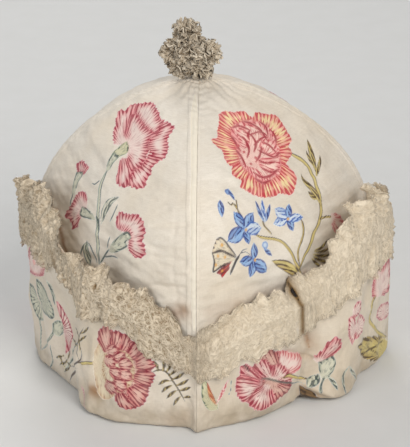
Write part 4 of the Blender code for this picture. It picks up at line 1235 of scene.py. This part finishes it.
BRIM_FRONT_RIGHT = (
    ("bloom", "yellow_green", (-71.1, 15.8), [((-80.2, 31.4), (-76.6, 32.5), (-72.6, 25), (-68.7, 17.9),
        (-67.7, 13.4), (-73.2, 13.2), (-78.2, 18.4), (-80.6, 24.4))], 1.6, 0.2, 0.0),
    ("leaf", "orange", 2.6, [((-69.2, 16), (-73.9, 24.1), (-75.9, 31.9))]),
    ("leaf", "pale_pink", 2.6, [((-69.2, 16.6), (-65.8, 22.9), (-62.4, 30.7))]),
    ("stroke", "grey_green", 0.8, [((-60.6, 30.6), (-60, 24.9), (-61.5, 19.6))]),
    ("bloom", "pale_pink", (-29, 21.7), [((-34, 37.4), (-31.6, 41.9), (-26.8, 41.9), (-19.3, 37.7),
        (-11.9, 34.5), (-10, 29.6), (-13.9, 27), (-18.1, 25.3), (-24.6, 24.9), (-30.7, 27.4))]),
    ("stroke", "ball", 1.0, [((-31.9, 35.7), (-27.3, 31.9), (-24.4, 22.3))]),
    # Petals in the darker crimson carry painted shade
    ("bloom", "wine", (-25.9, 25.2), [((-44.9, 39.3), (-41.6, 44.5), (-36.1, 45.6), (-31, 41.7),
        (-28.2, 35.8), (-27.6, 28.1), (-33.7, 26.6), (-42, 30.8))], 4.6, 0.24, 0.8),
    ("bloom", "crimson", (-33.9, 21.2), [((-55.3, 32), (-56.2, 37.1), (-52.7, 39.8), (-48.2, 37.7),
        (-43.5, 32.5), (-37.9, 25.3), (-39.6, 23.6), (-48.5, 26.3))], 5.0, 0.24, 0.8),
    ("bloom", "crimson", (-31.5, 22.1), [((-48.1, 37), (-45.8, 40.9), (-40.1, 39.5), (-35.2, 35.8),
        (-31, 28.9), (-30.3, 21.9), (-37.7, 24))], 4.6, 0.24, 0.8),
    ("bloom", "crimson", (-31.5, 22.1), [((-33.7, 33.6), (-28.2, 33.4), (-22.1, 28), (-18.8, 22.1),
        (-19.2, 18.1), (-26.5, 20.1), (-31.7, 23.4))], 4.0, 0.24, 0.8),
    ("bloom", "wine", (-31.6, 22.8), [((-39.8, 25), (-30.5, 23.3), (-18.6, 18.5), (-17.7, 11.2),
        (-24.7, 10.1), (-29.3, 8), (-37.2, 11.8), (-43.3, 18.3))], 5.2, 0.26, 0.8),
    ("bloom", "crimson", (-32.8, 22.3), [((-57.2, 32.8), (-51.6, 31.9), (-39.8, 25), (-42.1, 19.3),
        (-47.3, 14.4), (-52.5, 15.4), (-56.5, 20.1), (-58, 27)),
        ((-47.5, 18.2), (-42.7, 22.3), (-35.4, 21.6), (-30.6, 16.5), (-27.8, 9.9), (-34, 7.1),
        (-40.4, 7.5), (-45.9, 10.1), (-49.3, 14.3))], 5.4, 0.26, 0.8),
    ("stroke", "grey_green", 1.1, [((-40.1, 27.1), (-29.2, 22.4), (-18.6, 18.5), (-5.4, 12.1))]),
    ("stroke", "dark", 1.0, [((-53.9, 39.3), (-51.9, 37.7), (-49.8, 34.8))]),
    ("stroke", "olive", 2.4, [((-25.2, 23.8), (-19.7, 23.7), (-7.6, 16), (-3.4, 14.2))]),
    ("leaf", "grey_green", 4.2, [((-3.7, 10), (-2.5, 13.4), (-1.1, 18.2))]),
    # Painted shade in the hollow under the lifted hem, and a painted shadow line along the fold above it
    ("leaf", "brown", 4.8, [((-7.9, 11.7), (-2.8, 3.3), (1.7, 2.2))]),
    ("soil", 0.7, 3.0, [((-6.1, 8.3), (-2.6, 3.4), (-1.3, 2.1))]),
    ("soil", 0.3, 1.4, [((-25.4, 39.9), (-12.6, 34), (-3.5, 28.4))]),
    ("bloom", "crimson", (-1.1, 24.7), [((-2.8, 28.5), (-1.8, 31.8), (0.4, 34.3), (3, 39.4), (6.4, 42.2),
        (11, 39.1), (13.3, 33.4), (9.9, 30.5), (6.1, 28.2), (2, 25.9), (-1.5, 25.4))]),
    ("bloom", "grey_green", (1.5, 15.9), [((-1.1, 26.1), (3.1, 27.5), (7.3, 28.6), (9.3, 24.5), (7.7, 20),
        (4.1, 15.7), (0.8, 14.7), (-0.7, 19.5))], 1.6, 0.2, 0.0),
    ("stroke", "grey_green", 1.4, [((2, 15.9), (0.2, 11.3), (0.3, 6.7))]),
    ("leaf", "grey_green", 2.6, [((3.6, 17), (6.8, 13), (9.3, 7.2))]),
    ("leaf", "grey_green", 2.8, [((18.4, 19.6), (26.3, 11.2), (32.6, 2.8)),
        ((18.4, 19.6), (13.9, 13.5), (16.9, 1.4))]),
    ("bloom", "crimson", (19.6, 53.3), [((18.8, 49.9), (19.1, 55.2), (22.7, 58.2), (27.1, 57.1),
        (28, 51.7), (23.8, 49.2))], 2.0, 0.3, 0.2),
    ("bloom", "crimson", (21.1, 41.4), [((20.8, 31.2), (15.9, 40.8), (14.9, 49.4), (18.1, 51.4),
        (22, 46.2), (23.3, 36.8))], 2.0, 0.3, 0.2),
    ("bloom", "crimson", (24, 41.5), [((22.8, 34.4), (22.8, 43.3), (25.4, 49.1), (31.2, 46.1),
        (35.7, 37.3), (26.2, 35))], 2.0, 0.3, 0.2),
    ("stroke", "olive", 3.0, [((48.4, 53.1), (41.3, 49.6), (44.6, 40.1), (52.9, 29.9), (66.4, 19.4),
        (84.7, 10.1))]),
    ("bloom", "crimson", (54.1, 50.8), [((42.2, 77.4), (51.1, 71.5), (49.5, 68.4), (48.5, 64.4),
        (45.4, 58.8), (42.2, 52.9), (48.8, 51.2), (70.7, 42.5), (84.7, 41.2), (76.1, 54.5), (84.3, 60.8),
        (69.8, 65.8), (59.4, 66.1), (52.9, 73.3))]),
    ("bloom", "crimson", (71.3, 31.9), [((55.9, 34.1), (58.4, 39), (72, 37.4), (85.8, 32.4), (87, 24.5),
        (71.5, 26.7), (63.1, 29.2))], 2.2, 0.3, 0.2),
    ("bloom", "olive", (78.8, 3.8), [((34, 19.9), (25.9, 29.4), (39.3, 27.7), (52.6, 23.5), (73.5, 14.5),
        (85.9, 6.4), (80.9, 2), (68.1, 1.8), (51, 7.5))]),
    ("stroke", "moss", 0.9, [((44.4, 13), (55.5, 14.3), (79.1, 9.6))]),
    ("stroke", "moss", 0.8, [((45.8, 20.8), (54.4, 13.3), (65.8, 6.3))]),
    # Darker along the crease of the fold
    ("soil", 0.7, 1.1, [((-10.1, 53.3), (-6.2, 43.4), (-5, 36.4))]),
    ("soil", 0.35, 3.4, [((-15.4, 58.3), (-6.6, 43.4), (-4.8, 37.3))]),
    ("soil", 0.8, 1.1, [((-59.2, 53.6), (-58, 53))]),
    ("soil", 0.7, 1.0, [((-44.5, 48.9), (-37.3, 43.9))]),
)

# What is painted on each piece: the pieces at the back repeat the front, turned over
GORE_PAINT = {
    ("left", "front"): {"spray": GORE_FRONT_LEFT},
    ("front", "right"): {"spray": GORE_FRONT_RIGHT},
    ("right", "back"): {"spray": GORE_FRONT_LEFT, "turn_over": True},
    ("back", "left"): {
        "spray": GORE_FRONT_RIGHT, "turn_over": True, "shift": (0, -8), "scale": 0.9,
    },
}
BRIM_PAINT = {
    ("left", "front"): {"spray": BRIM_FRONT_LEFT},
    ("front", "right"): {"spray": BRIM_FRONT_RIGHT},
    ("right", "back"): {"spray": BRIM_FRONT_LEFT, "turn_over": True, "scale": 0.92},
    ("back", "left"): {"spray": BRIM_FRONT_RIGHT, "turn_over": True, "scale": 0.92},
}


# Finishes


class Value:
    """A number that a node gives. Arithmetic on it adds Math nodes."""

    def __init__(self, recipe, socket):
        self.recipe, self.socket = recipe, socket

    def _do(self, operation, a, b):
        made = self.recipe.node("ShaderNodeMath", {"operation": operation}, {0: a, 1: b})
        return Value(self.recipe, made.outputs[0])

    def __add__(self, other):
        return self._do("ADD", self, other)

    def __sub__(self, other):
        return self._do("SUBTRACT", self, other)

    def __rsub__(self, other):
        return self._do("SUBTRACT", other, self)

    def __mul__(self, other):
        return self._do("MULTIPLY", self, other)

    __radd__ = __add__

    def sine(self):
        return self._do("SINE", self, 0.0)

    def least(self, other):
        return self._do("MINIMUM", self, other)

    def most(self, other):
        return self._do("MAXIMUM", self, other)

    def held(self):
        """The value kept between 0 and 1."""
        return self.least(1.0).most(0.0)

    def contour(self, sharpness):
        """1 where the value is a half, falling off on both sides: the contour line of a noise."""
        off = self - 0.5
        return (1 - off.most(off * -1) * sharpness).held()


class Recipe:
    """The nodes of one finish, with a Principled shader whose constants are given by name."""

    def __init__(self, name, constants):
        self.material = bpy.data.materials.new(name)
        self.material.use_nodes = True
        self.tree = self.material.node_tree
        self.shader = self.tree.nodes["Principled BSDF"]
        for key, value in constants.items():
            self.shader.inputs[key].default_value = value

    def node(self, kind, settings=None, inputs=None):
        """A node of a kind, with its settings, then the values or links of its sockets."""
        made = self.tree.nodes.new(kind)
        for key, value in (settings or {}).items():
            setattr(made, key, value)
        for key, value in (inputs or {}).items():
            self.feed(made.inputs[key], value)
        return made

    def feed(self, socket, value):
        """Links a socket to a Value or another socket, or sets its constant."""
        value = value.socket if isinstance(value, Value) else value
        if isinstance(value, bpy.types.NodeSocket):
            self.tree.links.new(value, socket)
        else:
            socket.default_value = value

    def give(self, **links):
        """Feeds the shader's sockets."""
        for key, value in links.items():
            self.feed(self.shader.inputs[key.replace("_", " ")], value)

    def place(self, kind="Object"):
        """Where a point is: in the cap's frame, or on the cloth's own map, both in metres."""
        return self.node("ShaderNodeTexCoord").outputs[kind]

    def scaled(self, vector, by):
        """A vector times three numbers."""
        made = self.node("ShaderNodeVectorMath", {"operation": "MULTIPLY"}, {0: vector, 1: by})
        return made.outputs[0]

    def noise(self, vector, scale, detail=2.0, rough=0.5, swirl=0.0):
        """Noise from 0 to 1, of scale patches to the metre, drawn out into swirls."""
        inputs = {"Vector": vector, "Scale": scale, "Detail": detail, "Roughness": rough,
                  "Distortion": swirl}
        return Value(self, self.node("ShaderNodeTexNoise", None, inputs).outputs["Fac"])

    def mix(self, share, a, b):
        """A mix of two colours."""
        made = self.node("ShaderNodeMix", {"data_type": "RGBA"}, {0: share, 6: a, 7: b})
        return made.outputs[2]

    def field(self, name):
        """The colour and the fourth number of an attribute."""
        made = self.node("ShaderNodeAttribute", {"attribute_name": name})
        return made.outputs["Color"], Value(self, made.outputs["Alpha"])

    def number(self, name):
        """A number kept for each point of a piece."""
        made = self.node("ShaderNodeAttribute", {"attribute_name": name})
        return Value(self, made.outputs["Fac"])

    def parts(self, colour):
        """A colour's three numbers."""
        made = self.node("ShaderNodeSeparateColor", None, {0: colour})
        return [Value(self, made.outputs[k]) for k in range(3)]

    def bump(self, height, distance, strength, under=None):
        """A bump of a height from 0 to 1, a distance in metres high, on top of another."""
        inputs = {"Height": height, "Distance": distance, "Strength": strength}
        if under is not None:
            inputs["Normal"] = under
        return self.node("ShaderNodeBump", None, inputs).outputs[0]


def colour(red, green, blue):
    """A screen colour as four numbers of light."""
    return (*shade(red, green, blue), 1.0)


# Screen colours of what lies on the silk and in the lace. The silk's brown is a stain in some
# places and painted shade in others, beside the lace and in hollows. The lace's brown is a stain
# with painted shade in its folds, its near black is painted shadow in their slits, and its shaded
# net and fold shadow are painted shade on its left.
GREYED, WEAVE_SHADOW, STAIN_AND_SHADE_BROWN, LOW_HEM_DARK = (
    (206, 190, 166), (198, 184, 164), (150, 104, 62), (156, 138, 110),
)
NET, SHADED_NET, FOLD_SHADOW, FRONT_LEFT_DARK, LACE_STAIN_AND_SHADE, SLIT_SHADOW = (
    (208, 190, 162), (112, 88, 56), (104, 86, 62), (132, 108, 76), (138, 108, 66), (34, 24, 16),
)


def silk_finish(name, ground, warm, shine, hem):
    """Plain-woven silk, yellowed in patches and darker below a given height at the hem, with a fine
    weave and slubs, brown where it is stained and where shade is painted in, and the paint on it:
    a wash that the brush leaves uneven, hatched in strokes of a deeper colour."""
    recipe = Recipe(name, {"Sheen Weight": 0.12, "Sheen Roughness": 0.4, "Specular IOR Level": 0.4})
    place = recipe.place()
    blotch = recipe.noise(place, 18, 3, 0.6)
    cloud = recipe.noise(place, 60, 3, 0.6)
    cloth = recipe.mix(((blotch - 0.42) * 3.2).held() * 0.75, colour(*ground), colour(*warm))
    cloth = recipe.mix(((cloud - 0.5) * 2.4).held() * 0.22, cloth, colour(*GREYED))
    warp = recipe.noise(recipe.scaled(place, (2600, 2600, 320)), 1, 2, 0.5)
    weft = recipe.noise(recipe.scaled(place, (300, 300, 2400)), 1, 2, 0.5)
    weave = warp * 0.5 + weft * 0.5
    cloth = recipe.mix(((weave - 0.5) * 1.2 + 0.1).held(), cloth, colour(*WEAVE_SHADOW))

    brush, _ = recipe.field("brush")
    across, along, stain_and_shade_share = recipe.parts(brush)
    wash, cover = recipe.field("paint")
    deep, depth = recipe.field("deep")
    # Brown where the silk is stained, and where shade is painted beside the lace and in hollows
    stain_and_shade_soak = (stain_and_shade_share * (0.55 + recipe.noise(place, 160, 3, 0.6) * 0.9)).held()
    cloth = recipe.mix(stain_and_shade_soak, cloth, colour(*STAIN_AND_SHADE_BROWN))
    _, _, height = recipe.parts(place)
    # Darker below a given height at the hem
    darker_low = ((hem - height) * 60 + (cloud - 0.5) * 3).held() * 0.55
    cloth = recipe.mix(darker_low, cloth, colour(*LOW_HEM_DARK))

    run = across * BRUSH_UNIT
    strokes = recipe.node("ShaderNodeCombineXYZ", None, {0: run, 1: along * 3}).outputs[0]
    wander = recipe.noise(strokes, 0.3, 1, 0.5)
    fine = recipe.noise(strokes, 1.3, 2, 0.5)
    comb = (run * (2 * math.pi / TOOTH) + wander * 7 + math.pi).sine() * -0.5 + 0.5
    hatch = comb * 0.62 + ((fine - 0.5) * 2.2 + 0.5).held() * 0.38
    thread = ((recipe.noise(strokes, 0.95, 1, 0.5) - 0.54) * 12).held() * 0.36
    line = ((hatch - 1 + depth) * 5).held().most(thread * (depth * 20).held())
    tone = recipe.noise(place, 420, 2, 0.5)
    colours = recipe.mix(line * (0.72 + tone * 0.5).least(1.0), wash, deep)
    edge = ((cover - 0.5 + (tone - 0.5) * 0.4) * 5 + 0.5).held()
    thin = (0.93 + (recipe.noise(place, 240, 2, 0.5) - 0.5) * 0.4).least(1.0)
    painted = recipe.mix(edge * thin, cloth, colours)

    normal = recipe.bump(weave, 0.00025, 0.5)
    normal = recipe.bump(recipe.noise(place, 260, 3, 0.55), 0.0006, 0.35, normal)
    recipe.give(Base_Color=painted, Roughness=(shine + weave * 0.12 + edge * 0.1), Normal=normal)
    return recipe.material


def lace_finish(name, thread, dirt_and_shade, veil, fringe):
    """Lace: fine threads that wander and loop, pale on the net behind them, closer together in
    patches of clothwork. The net is a veil that thins out to bare threads towards a broken edge.
    Dust darkens it in patches and, with painted shade, towards its left, where shade is also
    painted between the threads and in soft folds; it is darker in a band on its front left."""
    recipe = Recipe(name, {"Specular IOR Level": 0.2, "Sheen Weight": 0.1, "Roughness": 0.9})
    flat, place = recipe.place("UV"), recipe.place()
    side, _, _ = recipe.parts(place)
    # 1 on the cap's left, where painted shade darkens the lace
    left = (0.5 - side * 25).held()
    loops = recipe.noise(flat, 190, 2, 0.5, 1.2).contour(11)
    twists = recipe.noise(flat, 430, 2, 0.6, 0.8).contour(8)
    threads = loops.most(twists * 0.6)
    patch = ((recipe.noise(flat, 140, 3, 0.6) - 0.44) * 3.2).held()
    between = (1 - threads) * (1 - patch * 0.55)
    rim = recipe.number("rim")
    ragged = recipe.noise(flat, 700, 2, 0.6)
    torn = ((ragged + 0.12 - rim * 0.35) * 6).held() * fringe
    bare = ((ragged + 0.4 - rim * 0.17) * 1.6).held() * fringe
    clear = between * (veil + bare * 0.8)
    # Dust in random patches, and more of this darker tone towards the left as painted shade
    dust_and_left_shade = ((recipe.noise(place, 75, 4, 0.65) - 0.5) * 1.5 + (0.012 - side) * 16).held() * 0.95
    tone = recipe.mix(dust_and_left_shade, colour(*thread), colour(*dirt_and_shade))
    # Less of the pale net, and painted shade between the threads and in soft folds, on the left
    tone = recipe.mix(between * (0.75 - left * 0.3), tone, colour(*NET))
    tone = recipe.mix(between * left * 0.5, tone, colour(*SHADED_NET))
    folds = ((recipe.noise(place, 120, 2, 0.5) - 0.56) * 7).held() * left * 0.5
    tone = recipe.mix(folds, tone, colour(*FOLD_SHADOW))
    # Darker in a band on the front left
    front_left_darkening = (side + 0.524).contour(28) * (0.35 + between * 0.3)
    tone = recipe.mix(front_left_darkening, tone, colour(*FRONT_LEFT_DARK))
    tone = recipe.mix(threads * (0.25 + left * 0.5), tone, colour(*thread))
    # Brown in the lace's folds for a stain with painted shade, near black painted shadow in slits
    soil = recipe.number("soil")
    tone = recipe.mix((soil * 1.2).held(), tone, colour(*LACE_STAIN_AND_SHADE))
    slit_shadow = ((soil * (0.4 + ragged * 1.2) - 0.82) * 8).held()
    tone = recipe.mix(slit_shadow, tone, colour(*SLIT_SHADOW))
    normal = recipe.bump(threads * 0.7 + patch * 0.3, 0.0009, 0.7)
    recipe.give(Base_Color=tone, Alpha=1 - (clear.most(torn) * (1 - slit_shadow)).held(), Normal=normal)
    return recipe.material


def floor_finish():
    """A pale, even sheet of paper."""
    recipe = Recipe("studio_paper", {"Roughness": 0.8, "Specular IOR Level": 0.2})
    grain = recipe.noise(recipe.place(), 40, 3, 0.6)
    recipe.give(Base_Color=recipe.mix(grain, colour(222, 222, 220), colour(228, 228, 227)))
    return recipe.material


# Studio


MIDDLE = (0.0, 0.0, 0.09)
CAMERA_PLACE = (0.018542, -1.06230, 0.530084)  # from the foot of the cap's axis
CAMERA_TARGET = (0.003244, -0.003057, 0.082483)
CAMERA_LENS = 159.69
CAMERA_SENSOR = 36.0
FLOOR_HALF = 6.0
FLOOR_LEVEL = -0.0002


def make_floor():
    """A level floor, large enough to fill the view from every side."""
    corners = ((-1, -1), (1, -1), (1, 1), (-1, 1))
    points = [(x * FLOOR_HALF, y * FLOOR_HALF, FLOOR_LEVEL) for x, y in corners]
    mesh = bpy.data.meshes.new("studio_floor")
    mesh.from_pydata(points, [], [(0, 1, 2, 3)])
    mesh.update()
    mesh.materials.append(floor_finish())
    floor = bpy.data.objects.new("studio_floor", mesh)
    bpy.context.scene.collection.objects.link(floor)


def aim(thing, place, target):
    """Puts a thing at a place, facing a target."""
    thing.location = place
    way = Vector(target) - thing.location
    thing.rotation_euler = way.to_track_quat("-Z", "Y").to_euler()


def make_light(name, place, size, power, tint):
    """A round, soft light that faces the middle of the cap."""
    lamp = bpy.data.lights.new(name, "AREA")
    lamp.shape, lamp.size, lamp.energy, lamp.color = "DISK", size, power, tint
    light = bpy.data.objects.new(name, lamp)
    bpy.context.scene.collection.objects.link(light)
    aim(light, place, MIDDLE)


def make_studio():
    """The camera at the photograph's place, soft lights and a pale surround."""
    make_floor()
    lens = bpy.data.cameras.new("camera")
    lens.lens, lens.sensor_width, lens.sensor_fit = CAMERA_LENS, CAMERA_SENSOR, "AUTO"
    lens.clip_start, lens.clip_end = 0.05, 20
    camera = bpy.data.objects.new("camera", lens)
    bpy.context.scene.collection.objects.link(camera)
    aim(camera, CAMERA_PLACE + AXIS, CAMERA_TARGET + AXIS)
    bpy.context.scene.camera = camera
    make_light("key", (0.62, -1.25, 1.1), 0.9, 15, (1.0, 0.97, 0.93))
    make_light("fill", (-0.9, -1.3, 0.75), 1.1, 7, (0.95, 0.97, 1.0))
    make_light("back", (-0.3, 1.1, 1.3), 0.8, 9, (1.0, 0.98, 0.95))
    world = bpy.data.worlds.new("studio")
    world.use_nodes = True
    sky = world.node_tree.nodes["Background"]
    sky.inputs["Color"].default_value = (0.86, 0.88, 0.9, 1.0)
    sky.inputs["Strength"].default_value = 0.36
    bpy.context.scene.world = world
    bpy.context.scene.view_settings.view_transform = "Standard"


# The whole cap

crown_silk = silk_finish("painted_silk", (236, 227, 213), (228, 212, 188), 0.42, -0.1)
brim_silk = silk_finish("brim_silk", (229, 217, 200), (212, 195, 168), 0.46, 0.018)
edging_lace = lace_finish("lace", (238, 223, 199), (206, 187, 160), 0.05, 1.0)
tuft_lace = lace_finish("tuft_lace", (238, 226, 206), (206, 188, 163), 0.1, 0.0)

# Columns and rows of each piece's grid, and how much coarser the inner face is
FRONT_GRAIN = {"gore": (280, 320, 4), "brim": (250, 150, 2), "lace": (300, 42)}
BACK_GRAIN = {"gore": (130, 130, 5), "brim": (140, 90, 2), "lace": (230, 34)}
for pair in PAIRS:
    grain = FRONT_GRAIN if "front" in pair else BACK_GRAIN
    make_gore(*pair, *grain["gore"], crown_silk)
    make_brim(*pair, *grain["brim"], brim_silk)
    make_lace(*pair, *grain["lace"], edging_lace)
make_tuft(tuft_lace)
make_studio()
